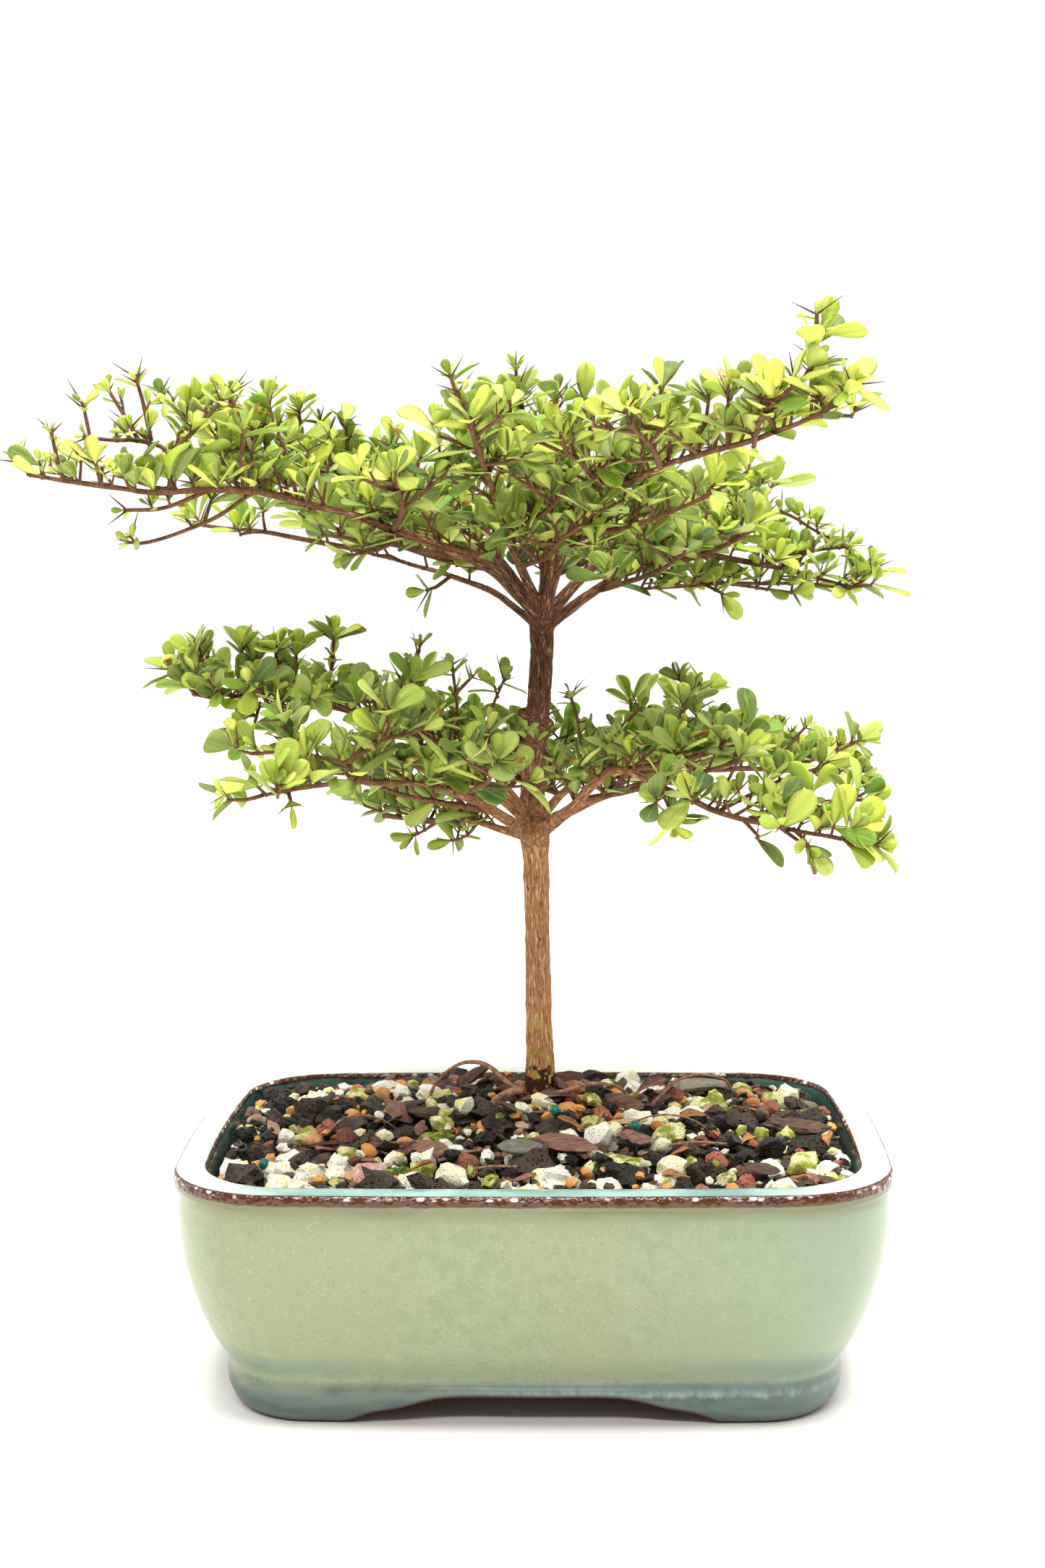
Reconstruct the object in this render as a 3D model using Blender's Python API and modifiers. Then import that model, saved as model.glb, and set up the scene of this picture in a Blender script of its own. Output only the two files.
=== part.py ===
"""Black olive bonsai: a two-tiered tree in a glazed rectangular pot of gritty soil.

Lengths are in metres. Everything is built about the pot's centre line, with the pot's feet
at z = 0, and then hangs from one empty that puts the whole object's box about the origin.
"""

import math
import random

import bmesh
import bpy
import numpy as np
from mathutils import Matrix, Vector

MM = 0.001
UP = Vector((0, 0, 1))
SEAT_GAP = 0.3 * MM

# Where the pot's centre line stands, so that the whole object's box is about the origin
POT_X = 15 * MM
POT_Y = 5 * MM

# Pot: outside length and width at the lip, and the plan's rounding and side bow
POT_LENGTH = 203 * MM
POT_WIDTH = 150 * MM
CORNER_RADIUS = 32 * MM
SIDE_BOW = 1.2 * MM
CORNER_STEPS = 4
# Height and inset of the outside, from the standing face of the feet up to the lip
POT_OUTSIDE = [
    (0, 17.6), (2.5, 15.4), (7, 13.7), (11, 13.6), (13.5, 14.4), (21, 10), (30, 6.2), (42, 2.7),
    (54, 1.1), (64, 1.2), (66, 0.1), (69, 0), (70, 1),
]
# Height and inset of the inside, from the lip down to the floor
POT_INSIDE = [(70, 8), (69, 9), (44, 9.6), (28, 14), (18, 21)]
FLOOR_TOP = 14.5 * MM
FLOOR_UNDERSIDE = 9.8 * MM
FOOT_RAIL = 9.4 * MM
ARCH_HALF_LENGTH = 58 * MM
ARCH_HALF_WIDTH = 34 * MM
# The arch between two feet: share of its half length, then height in millimetres
ARCH_OUTLINE = [(1, -2), (0.97, 0.8), (0.85, 3.6), (0.69, 5.4), (0.53, 7.9), (0.36, 8.8)]
DRAIN_HOLE_RADIUS = 8 * MM
DRAIN_HOLE_X = 50 * MM

# Plastic mesh over each drain hole
SCREEN_SIDE = 26 * MM
SCREEN_THICKNESS = 1 * MM
SCREEN_HOLES = 3
SCREEN_BAR = 2.2 * MM

# Soil: its level at the wall, and the mound round the trunk
SOIL_EDGE_Z = 65.5 * MM
MOUND_Z = 79 * MM
TRUNK_X = 0.5 * MM
TRUNK_Y = 5 * MM
HOLE_RADIUS = 5.1 * MM
HOLE_FLOOR_Z = 42 * MM
GRAINS = 36
GRAIN_SIZES = (4.4 * MM, 8 * MM)

# Trunk: height and middle line in millimetres, then radius
TRUNK = [
    (42.4, 0.5, 5, 4.5), (79, 0.5, 5, 4.7), (88, 0.8, 5, 4.5), (100, 0.4, 5, 4.1),
    (128, 0.3, 5, 4), (150, 0.3, 5, 4.2), (160, 0.2, 5, 5), (165, -0.4, 5, 4), (178, 0.2, 5, 3.7),
    (194, 1.6, 5, 3.5), (212, 2.8, 5, 3.4), (221, 2.8, 5, 3.9), (228, 3, 5, 3),
]

# Limbs: the middle line's route in millimetres, from inside the trunk to the last leaf bud;
# then the radius at the trunk, the share of the route that is bare limb, and how many leafy
# stems leave its sides
LIMBS = {
    "low_front_left": (
        [(0, 4, 157), (-9, -12, 165), (-24, -38, 176), (-44, -66, 181), (-68, -88, 180)],
        2.5, 0.62, 2,
    ),
    "low_left": (
        [(0, 5, 160), (-13, 3, 172), (-41, -4, 194), (-76, -15, 198), (-97, -24, 202)],
        2.2, 0.6, 2,
    ),
    "low_back_left": ([(0, 5, 162), (-14, 28, 175), (-31, 58, 185), (-44, 88, 192)], 2.0, 0.55, 1),
    "low_under_left": ([(0, 5, 156), (-18, 18, 160), (-34, 37, 158), (-50, 58, 157)], 1.8, 0.55, 0),
    "low_front_right": (
        [(1, 4, 157), (12, -14, 168), (25, -40, 181), (50, -71, 173), (81, -90, 168)],
        2.6, 0.64, 2,
    ),
    "low_right": ([(1, 5, 160), (25, 8, 170), (54, 7, 177), (89, 0, 176)], 2.2, 0.6, 2),
    "low_back_right": ([(1, 6, 162), (12, 30, 170), (32, 60, 178), (50, 90, 190)], 2.0, 0.55, 1),
    "up_left": (
        [(3, 4, 222), (-10, -8, 236), (-39, -38, 249), (-71, -64, 258), (-100, -78, 258), (-126, -90, 262)],
        2.6, 0.6, 3,
    ),
    "up_left_low": (
        [(3, 5, 219), (-10, 16, 229), (-36, 34, 238), (-74, 42, 247), (-104, 40, 251)],
        1.9, 0.58, 0,
    ),
    "up_left_top": (
        [(3, 5, 223), (-12, 10, 242), (-40, 6, 258), (-70, 0, 269), (-94, -10, 278)],
        2.0, 0.58, 1,
    ),
    "up_back_left": ([(3, 6, 223), (-13, 30, 241), (-36, 66, 258), (-60, 98, 272)], 2.2, 0.58, 2),
    "up_back": ([(3, 6, 222), (3, 38, 243), (0, 72, 260), (-4, 104, 274)], 2.2, 0.58, 1),
    "up_back_right": ([(3, 6, 221), (20, 30, 239), (46, 62, 254), (78, 90, 262)], 2.6, 0.58, 2),
    "up_right": ([(3, 5, 219), (26, 5, 235), (58, 14, 240), (96, 28, 231)], 2.2, 0.58, 2),
    "up_front_right": (
        [(3, 4, 222), (13, -28, 250), (34, -70, 263), (58, -98, 269), (76, -116, 276)],
        2.4, 0.66, 3,
    ),
    "up_front": ([(3, 4, 224), (-6, -26, 246), (-10, -60, 261), (-13, -96, 272)], 2.1, 0.6, 2),
    "up_top": ([(3, 5, 224), (5, 5, 246), (1, 0, 266), (-3, -2, 284)], 1.8, 0.5, 0),
}
LIMB_END_RADIUS = 0.95 * MM
LIMB_STEP = 20 * MM

# Leafy stems: twig radius at its foot and tip, side stem lengths and spread
TWIG_RADII = (1.05 * MM, 0.85 * MM)
STEM_LENGTHS = (40 * MM, 27 * MM)
STEM_SPREADS = (math.radians(52), math.radians(38), math.radians(68))
STEM_ROOM = 13 * MM
STEM_RISE = 0.16
TWIG_ZIGZAG = 1.3 * MM
ROSETTE_SPACING = 18 * MM
FIRST_ROSETTE = 0.45
SPUR_LENGTHS = (4.6 * MM, 9.5 * MM)
LONG_SPUR = 17 * MM
SPUR_RADIUS = 0.6 * MM
SPUR_SIDES = 4

# Leaves: obovate blades with a blunt tip, the pairs of a rosette one above the other
LEAF_LENGTHS = (9.5 * MM, 15 * MM)
LEAF_SHAPE = 0.54
LEAF_THICKNESS = 0.6 * MM
LEAF_OUTLINE = [(0, 0), (0.62, 0.5), (0.97, 0.24), (0.97, -0.24), (0.62, -0.5)]
PAIR_SPACING = 1.3 * MM
LEAN_RANGE = (math.radians(42), math.radians(84))
SPINE_LENGTH = 5.5 * MM
SPINE_RADIUS = 0.45 * MM

# How far apart blades stay: from another node's, and from their own node's
CLEAR_OF_OTHERS = 2.4 * MM
CLEAR_OF_OWN = 1.5 * MM


def start_clean():
    for old in list(bpy.data.objects):
        bpy.data.objects.remove(old)


def new_collection(name):
    made = bpy.data.collections.new(name)
    bpy.context.scene.collection.children.link(made)
    return made


def new_material(name, colour, roughness):
    made = bpy.data.materials.new(name)
    made.use_nodes = True
    shader = made.node_tree.nodes["Principled BSDF"]
    shader.inputs["Base Color"].default_value = (*colour, 1)
    shader.inputs["Roughness"].default_value = roughness
    shader.inputs["Metallic"].default_value = 0
    return made


def mesh_object(name, mesh, collection):
    made = bpy.data.objects.new(name, mesh)
    collection.objects.link(made)
    return made


def as_mesh(source, collection):
    """The evaluated object as a plain mesh object in its place; the source is removed."""
    name = source.name
    graph = bpy.context.evaluated_depsgraph_get()
    mesh = bpy.data.meshes.new_from_object(source.evaluated_get(graph))
    work = bmesh.new()
    work.from_mesh(mesh)
    bmesh.ops.remove_doubles(work, verts=work.verts, dist=0.001 * MM)
    bmesh.ops.recalc_face_normals(work, faces=work.faces)
    work.to_mesh(mesh)
    work.free()
    place = source.matrix_world.copy()
    bpy.data.objects.remove(source)
    made = mesh_object(name, mesh, collection)
    made.matrix_world = place
    return made


def boolean(target, operation, other, solver="EXACT"):
    """Joins to, or cuts from, target the other object or collection, which is then removed."""
    modifier = target.modifiers.new(operation.lower(), "BOOLEAN")
    modifier.operation = operation
    modifier.solver = solver
    if isinstance(other, bpy.types.Collection):
        modifier.operand_type = "COLLECTION"
        modifier.collection = other
        used = list(other.objects)
    else:
        modifier.object = other
        used = [other]
    bpy.context.view_layer.update()
    graph = bpy.context.evaluated_depsgraph_get()
    mesh = bpy.data.meshes.new_from_object(target.evaluated_get(graph))
    target.modifiers.clear()
    target.data = mesh
    for spent in used:
        bpy.data.objects.remove(spent)
    if isinstance(other, bpy.types.Collection):
        bpy.data.collections.remove(other)


def rounded_rectangle(length, width, radius, bow):
    """A plan outline about the centre, counter-clockwise, with each side's middle bowed out."""
    half_x = length / 2
    half_y = width / 2
    middles = [(0, half_y + bow), (-half_x - bow, 0), (0, -half_y - bow), (half_x + bow, 0)]
    points = []
    for quarter, (sx, sy) in enumerate([(1, 1), (-1, 1), (-1, -1), (1, -1)]):
        for step in range(CORNER_STEPS + 1):
            angle = math.radians(90 * (quarter + step / CORNER_STEPS))
            x = sx * (half_x - radius) + radius * math.cos(angle)
            y = sy * (half_y - radius) + radius * math.sin(angle)
            points.append((x, y))
        points.append(middles[quarter])
    return points


def pot_ring(height, inset):
    """One level of the pot, drawn in from the outside of the lip."""
    radius = max(CORNER_RADIUS - 0.6 * inset, 8 * MM)
    outline = rounded_rectangle(POT_LENGTH - 2 * inset, POT_WIDTH - 2 * inset, radius, SIDE_BOW)
    return [(x, y, height) for x, y in outline]


def loft(name, rings, collection):
    """A closed solid through rings of equal point counts, the first and last capped."""
    work = bmesh.new()
    levels = [[work.verts.new(point) for point in ring] for ring in rings]
    count = len(levels[0])
    for lower, upper in zip(levels, levels[1:]):
        for i in range(count):
            j = (i + 1) % count
            work.faces.new((lower[i], lower[j], upper[j], upper[i]))
    work.faces.new(levels[0][::-1])
    work.faces.new(levels[-1])
    bmesh.ops.recalc_face_normals(work, faces=work.faces)
    mesh = bpy.data.meshes.new(name)
    work.to_mesh(mesh)
    work.free()
    return mesh_object(name, mesh, collection)


def cylinder(name, radius, bottom, top, x, y, sides, collection):
    work = bmesh.new()
    bmesh.ops.create_cone(
        work, cap_ends=True, segments=sides, radius1=radius, radius2=radius, depth=top - bottom
    )
    mesh = bpy.data.meshes.new(name)
    work.to_mesh(mesh)
    work.free()
    made = mesh_object(name, mesh, collection)
    made.location = (x, y, (top + bottom) / 2)
    return made


def tube(name, points, radii, resolution, collection):
    """A tapering stem along the points: 4 sides at resolution 0, 6 at 1, 8 at 2."""
    curve = bpy.data.curves.new(name, "CURVE")
    curve.dimensions = "3D"
    curve.bevel_depth = 1
    curve.bevel_resolution = resolution
    curve.use_fill_caps = True
    spline = curve.splines.new("POLY")
    spline.points.add(len(points) - 1)
    for spot, point, radius in zip(spline.points, points, radii):
        spot.co = (*point, 1)
        spot.radius = radius
    made = mesh_object(name, curve, collection)
    bpy.context.view_layer.update()
    return as_mesh(made, collection)


def make_arch_cutter(name, half_length, reach, turn, collection):
    """The cloud-shaped arch between two feet, drawn upright and run through the pot."""
    outline = [(share * half_length, height * MM) for share, height in ARCH_OUTLINE]
    outline += [(-x, z) for x, z in reversed(outline)]
    curve = bpy.data.curves.new(name, "CURVE")
    curve.dimensions = "2D"
    curve.fill_mode = "BOTH"
    curve.extrude = reach
    spline = curve.splines.new("POLY")
    spline.points.add(len(outline) - 1)
    for spot, (x, z) in zip(spline.points, outline):
        spot.co = (x, z, 0, 1)
    spline.use_cyclic_u = True
    made = mesh_object(name, curve, collection)
    made.rotation_euler = (math.radians(90), 0, turn)
    bpy.context.view_layer.update()
    return as_mesh(made, collection)


def make_pot(parts, cutters):
    """One ceramic piece: bellied wall, flat lip, floor, and a foot at each corner."""
    rings = [pot_ring(z * MM, inset * MM) for z, inset in POT_OUTSIDE + POT_INSIDE]
    rings.append(pot_ring(FLOOR_TOP, 27 * MM))
    pot = loft("pot", rings, parts)
    inset = POT_OUTSIDE[0][1] * MM + FOOT_RAIL
    hollow = loft("hollow", [pot_ring(-2 * MM, inset), pot_ring(FLOOR_UNDERSIDE, inset)], cutters)
    boolean(pot, "DIFFERENCE", hollow)
    front_arch = make_arch_cutter("front_arch", ARCH_HALF_LENGTH, POT_WIDTH, 0, cutters)
    boolean(pot, "DIFFERENCE", front_arch)
    quarter_turn = math.radians(90)
    side_arch = make_arch_cutter("side_arch", ARCH_HALF_WIDTH, POT_LENGTH, quarter_turn, cutters)
    boolean(pot, "DIFFERENCE", side_arch)
    for side in (-1, 1):
        x = side * DRAIN_HOLE_X
        hole = cylinder("hole", DRAIN_HOLE_RADIUS, 0, 2 * FLOOR_TOP, x, 0, 12, cutters)
        boolean(pot, "DIFFERENCE", hole)
    return pot


def make_screen(name, x, parts, cutters):
    """A square of plastic mesh lying on the floor over a drain hole."""
    bottom = FLOOR_TOP + SEAT_GAP
    side = Vector((SCREEN_SIDE, SCREEN_SIDE, SCREEN_THICKNESS))
    bpy.ops.mesh.primitive_cube_add(size=1)
    screen = bpy.context.object
    screen.name = name
    screen.data.transform(Matrix.Diagonal(side).to_4x4())
    for owner in screen.users_collection:
        owner.objects.unlink(screen)
    parts.objects.link(screen)
    screen.location = (x, 0, bottom + SCREEN_THICKNESS / 2)
    pitch = (SCREEN_SIDE - SCREEN_BAR) / SCREEN_HOLES
    clear = (pitch - SCREEN_BAR) / 2 * math.sqrt(2)
    for row in range(SCREEN_HOLES):
        for column in range(SCREEN_HOLES):
            hole_x = x + (column - (SCREEN_HOLES - 1) / 2) * pitch
            hole_y = (row - (SCREEN_HOLES - 1) / 2) * pitch
            low = bottom - 3 * MM
            high = bottom + 4 * MM
            cutter = cylinder("mesh_hole", clear, low, high, hole_x, hole_y, 4, cutters)
            cutter.rotation_euler.z = math.radians(45)
            boolean(screen, "DIFFERENCE", cutter)
    return screen


def soil_level(x, y):
    """The soil's height at a place: a low mound round the trunk."""
    across = math.hypot((x - TRUNK_X) / (POT_LENGTH / 2), (y - TRUNK_Y) / (POT_WIDTH / 2))
    share = max(0.0, 1 - across)
    return SOIL_EDGE_Z + (MOUND_Z - SOIL_EDGE_Z) * share**1.25


def make_grain(name, place, size, draw, collection):
    """One rough lump of grit: a cube with its corners shifted, squashed and turned at random."""
    work = bmesh.new()
    bmesh.ops.create_cube(work, size=1.5)
    for vert in work.verts:
        vert.co *= draw.uniform(0.82, 1.15)
    stretch = Vector((draw.uniform(0.8, 1.35), draw.uniform(0.7, 1.0), draw.uniform(0.55, 0.85)))
    bmesh.ops.scale(work, vec=stretch * size, verts=work.verts)
    mesh = bpy.data.meshes.new(name)
    work.to_mesh(mesh)
    work.free()
    made = mesh_object(name, mesh, collection)
    made.rotation_euler = [draw.uniform(-0.5, 0.5), draw.uniform(-0.5, 0.5), draw.uniform(0, math.pi)]
    made.location = place
    return made


def make_soil(parts, cutters):
    """The gritty mix that fills the pot, with its top layer of grains, and the trunk's hole."""
    rings = [pot_ring(FLOOR_TOP + SCREEN_THICKNESS + 2 * SEAT_GAP, 27 * MM + SEAT_GAP)]
    for height, inset in reversed(POT_INSIDE[2:]):
        rings.append(pot_ring(height * MM, inset * MM + 1.5 * SEAT_GAP))
    outer = pot_ring(SOIL_EDGE_Z, POT_INSIDE[1][1] * MM + 1.5 * SEAT_GAP)
    for share in (0.02, 0.4, 0.8):
        ring = []
        for x, y, _ in outer:
            near_x = x + (TRUNK_X - x) * share
            near_y = y + (TRUNK_Y - y) * share
            ring.append((near_x, near_y, soil_level(near_x, near_y)))
        rings.append(ring)
    soil = loft("soil", rings, parts)

    draw = random.Random(7)
    grains = new_collection("grains")
    half_x = POT_LENGTH / 2 - 17 * MM
    half_y = POT_WIDTH / 2 - 17 * MM
    for number in range(GRAINS):
        spread = math.sqrt((number + 0.6) / GRAINS)
        angle = number * math.radians(137.5)
        power = 0.62
        x = math.copysign(abs(math.cos(angle)) ** power, math.cos(angle)) * spread * half_x
        y = math.copysign(abs(math.sin(angle)) ** power, math.sin(angle)) * spread * half_y
        size = draw.uniform(*GRAIN_SIZES)
        place = (x, y, soil_level(x, y) + 0.05 * size)
        make_grain(f"grain_{number}", place, size, draw, grains)
    boolean(soil, "UNION", grains, "MANIFOLD")
    hole = cylinder("trunk_hole", HOLE_RADIUS, HOLE_FLOOR_Z, 2 * MOUND_Z, TRUNK_X, TRUNK_Y, 12, cutters)
    boolean(soil, "DIFFERENCE", hole, "MANIFOLD")
    return soil


def smooth_route(points, step):
    """Points about a step apart on a smooth curve through the given ones."""
    spots = [Vector(point) * MM for point in points]
    spots = [2 * spots[0] - spots[1], *spots, 2 * spots[-1] - spots[-2]]
    route = []
    for before, start, end, after in zip(spots, spots[1:], spots[2:], spots[3:]):
        pieces = max(1, round((end - start).length / step))
        for piece in range(pieces):
            t = piece / pieces
            route.append(
                0.5 * (
                    2 * start
                    + (end - before) * t
                    + (2 * before - 5 * start + 4 * end - after) * t**2
                    + (3 * start - before - 3 * end + after) * t**3
                )
            )
    route.append(spots[-2])
    return route


def along(route, share):
    """The point and the direction of a route at a share of its length."""
    lengths = [(b - a).length for a, b in zip(route, route[1:])]
    left = share * sum(lengths)
    for (a, b), length in zip(zip(route, route[1:]), lengths):
        if left <= length:
            return a.lerp(b, left / length), (b - a).normalized()
        left -= length
    return route[-1].copy(), (route[-1] - route[-2]).normalized()


def part_of_route(route, first, last):
    """The stretch of a route between two shares of its length, with its own inner points."""
    total = sum((b - a).length for a, b in zip(route, route[1:]))
    inner = []
    gone = 0.0
    for a, b in zip(route, route[1:]):
        gone += (b - a).length
        if first + 0.02 < gone / total < last - 0.02:
            inner.append(b)
    return [along(route, first)[0], *inner, along(route, last)[0]]


def shares_of(route):
    """How far along a route each of its points lies, from 0 to 1."""
    gone = [0.0]
    for a, b in zip(route, route[1:]):
        gone.append(gone[-1] + (b - a).length)
    return [length / gone[-1] for length in gone]


def limb_radius(foot_radius, share):
    return foot_radius * MM + (LIMB_END_RADIUS - foot_radius * MM) * min(1.0, share) ** 0.8


def stem_routes(claimed):
    """The middle line of every leafy stem: the end of each limb, then the stems on its sides."""
    routes = {}
    for name, (points, _, bare, _) in LIMBS.items():
        route = smooth_route(points, LIMB_STEP)
        total = sum((b - a).length for a, b in zip(route, route[1:]))
        routes[name + "_end"] = part_of_route(route, bare + SEAT_GAP / total, 1)
        claimed.add_stem(routes[name + "_end"], TWIG_RADII[0], len(routes))
    for name, (points, foot_radius, bare, sides) in LIMBS.items():
        route = smooth_route(points, LIMB_STEP)
        for number in range(sides):
            share = bare * (0.34 + 0.58 * number / max(2, sides - 1))
            start, heading = along(route, share)
            radius = limb_radius(foot_radius, share / bare)
            length = STEM_LENGTHS[0] + (STEM_LENGTHS[1] - STEM_LENGTHS[0]) * number / sides
            length *= random.Random(f"{name} {number}").uniform(0.9, 1.15)
            choices = [
                side_stem(start, heading, radius, length, turn, spread)
                for turn in ((-1) ** number, -((-1) ** number))
                for spread in STEM_SPREADS
            ]
            roomy = [choice for choice in choices if claimed.room(choice[1:]) > STEM_ROOM]
            chosen = roomy[0] if roomy else max(choices, key=lambda choice: claimed.room(choice[1:]))
            routes[f"{name}_{number + 1}"] = chosen
            claimed.add_stem(chosen, TWIG_RADII[0], len(routes))
    return routes


def side_stem(start, heading, radius, length, turn, spread):
    """A stem out of a limb's side, its foot just clear of the limb's bark."""
    side = heading.cross(UP).normalized() * turn
    flat = Vector((heading.x, heading.y, 0)).normalized()
    way = (flat * math.cos(spread) + side * math.sin(spread) + UP * STEM_RISE).normalized()
    lean = abs(way.dot(heading))
    reach = (radius + SEAT_GAP + TWIG_RADII[0] * lean) / math.sqrt(1 - lean**2)
    return zigzag(start + way * reach, way, length)


def zigzag(start, way, length):
    """A side stem's middle line: it kinks a little at each rosette and bends upwards."""
    steps = max(2, round(length / ROSETTE_SPACING))
    across = way.cross(UP).normalized()
    points = [start]
    for step in range(1, steps + 1):
        share = step / steps
        kink = across * TWIG_ZIGZAG * (-1) ** step
        points.append(start + way * length * share + kink + UP * 0.1 * length * share**2)
    return points


class Claimed:
    """Points on what is placed so far, so that blades and spurs stay clear of each other."""

    def __init__(self):
        self.points = np.zeros((0, 3))
        self.reach = np.zeros(0)
        self.owner = np.zeros(0, int)

    def add(self, points, reach, owner):
        self.points = np.vstack([self.points, np.array(points)])
        self.reach = np.append(self.reach, np.full(len(points), reach))
        self.owner = np.append(self.owner, np.full(len(points), owner))

    def add_stem(self, points, reach, owner):
        for a, b in zip(points, points[1:]):
            count = max(2, round((b - a).length / (1.5 * MM)))
            self.add([a.lerp(b, i / count) for i in range(count + 1)], reach, owner)

    def room(self, points):
        """How far the nearest claimed surface is from any of the points."""
        spots = [a.lerp(b, share) for a, b in zip(points, points[1:]) for share in (0, 0.5, 1)]
        gaps = np.linalg.norm(np.array(spots)[:, None] - self.points[None], axis=2) - self.reach
        return gaps.min()

    def is_clear(self, points, owner):
        """Points well clear of other nodes', and the outer ones clear of their own node's."""
        tested = np.array(points)
        outer = tested[len(tested) // 3:]
        away = self.owner != owner
        for spots, here, wanted in (
            (tested, away, CLEAR_OF_OTHERS),
            (outer, ~away, CLEAR_OF_OWN),
        ):
            others = self.points[here]
            if not len(others):
                continue
            gap = np.linalg.norm(spots[:, None] - others[None], axis=2) - self.reach[here]
            if (gap < wanted).any():
                return False
        return True


def leaf_frame(foot, way, face):
    """The matrix that lays a blade along way, its upper side towards face."""
    across = face.cross(way).normalized()
    normal = way.cross(across)
    turned = Matrix((way, across, normal)).transposed().to_4x4()
    return Matrix.Translation(foot) @ turned


def leaf_samples(frame, length):
    """Points over the blade, foot first, for telling whether it is clear."""
    points = []
    for share in (0.15, 0.27, 0.39, 0.51, 0.63, 0.75, 0.87, 0.97):
        half = LEAF_SHAPE * length / 2 * min(share / 0.62, 1.92 - 1.48 * share, 1)
        for across in (-1, -0.5, 0, 0.5, 1):
            points.append(frame @ Vector((share * length, across * half, 0)))
    return points


def make_leaf(name, frame, length, collection):
    """A blade's outline, thickened."""
    outline = [(x * length, y * LEAF_SHAPE * length, 0) for x, y in LEAF_OUTLINE]
    mesh = bpy.data.meshes.new(name)
    mesh.from_pydata(outline, [], [range(len(outline))])
    made = mesh_object(name, mesh, collection)
    made.matrix_world = frame
    thick = made.modifiers.new("thickness", "SOLIDIFY")
    thick.thickness = LEAF_THICKNESS
    thick.offset = 0
    return made


def standing_on(foot, axis):
    """The matrix that stands something upright on foot with its top along axis."""
    return Matrix.Translation(foot) @ axis.to_track_quat("Z", "Y").to_matrix().to_4x4()


def make_cone(name, foot, axis, length, radii, sides, collection):
    """A straight spur or spine from foot along axis."""
    work = bmesh.new()
    bmesh.ops.create_cone(
        work, cap_ends=True, segments=sides, radius1=radii[0], radius2=radii[1], depth=length
    )
    bmesh.ops.translate(work, vec=(0, 0, length / 2), verts=work.verts)
    mesh = bpy.data.meshes.new(name)
    work.to_mesh(mesh)
    work.free()
    made = mesh_object(name, mesh, collection)
    made.matrix_world = standing_on(foot, axis)
    return made


def spurs_of(name, route):
    """Foot, top and axis of each short upright spur that carries a rosette, tip of the stem last."""
    total = sum((b - a).length for a, b in zip(route, route[1:]))
    count = max(2, round(total / ROSETTE_SPACING))
    spurs = []
    for number in range(1, count + 1):
        draw = random.Random(f"{name} spur {number}")
        share = (number - FIRST_ROSETTE) / (count - FIRST_ROSETTE)
        foot, heading = along(route, share - (0.8 * MM / total if number == count else 0))
        across = heading.cross(UP).normalized() * (-1) ** number
        axis = (UP + across * draw.uniform(0.15, 0.5) + heading * draw.uniform(0.1, 0.45)).normalized()
        length = draw.uniform(*SPUR_LENGTHS)
        if number == 1 and draw.random() < 0.4:
            length = LONG_SPUR
        if number == count:
            length = SPUR_LENGTHS[0]
            axis = (heading + UP).normalized()
        spurs.append((foot, foot + axis * length, axis))
    return spurs


def add_rosette(name, number, owner, top, axis, claimed, leaves):
    """A blade out of each face of the spur, bent clear of what is there already or left out."""
    draw = random.Random(f"{name} rosette {number}")
    spur = standing_on(top, axis).to_3x3()
    for blade in range(SPUR_SIDES):
        length = draw.uniform(*LEAF_LENGTHS)
        lean = draw.uniform(*LEAN_RANGE)
        foot = top - axis * PAIR_SPACING * (1 + blade % 2)
        for attempt in range(9):
            turn = math.radians(90 + 360 * (blade + 0.5) / SPUR_SIDES + draw.uniform(-12, 12))
            tilt = lean - math.radians(4) * attempt
            outward = spur @ Vector((math.cos(turn), math.sin(turn), 0))
            way = axis * math.cos(tilt) + outward * math.sin(tilt)
            frame = leaf_frame(foot, way, axis)
            samples = leaf_samples(frame, length)
            if claimed.is_clear(samples, owner):
                claimed.add(samples, 0, owner)
                make_leaf(f"leaf_{number}_{blade}", frame, length, leaves)
                break


def make_wood(parts):
    """Trunk and limbs grown as one piece, its foot buried in the soil."""
    points = [Vector((x, y, z)) * MM for z, x, y, _ in TRUNK]
    radii = [radius * MM for *_, radius in TRUNK]
    wood = tube("trunk", points, radii, 3, parts)
    limbs = new_collection("limbs")
    for name, (route_points, foot_radius, bare, _) in LIMBS.items():
        route = part_of_route(smooth_route(route_points, LIMB_STEP), 0, bare)
        radii = [limb_radius(foot_radius, share) for share in shares_of(route)]
        tube(name, route, radii, 1, limbs)
    boolean(wood, "UNION", limbs, "MANIFOLD")
    return wood


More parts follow.
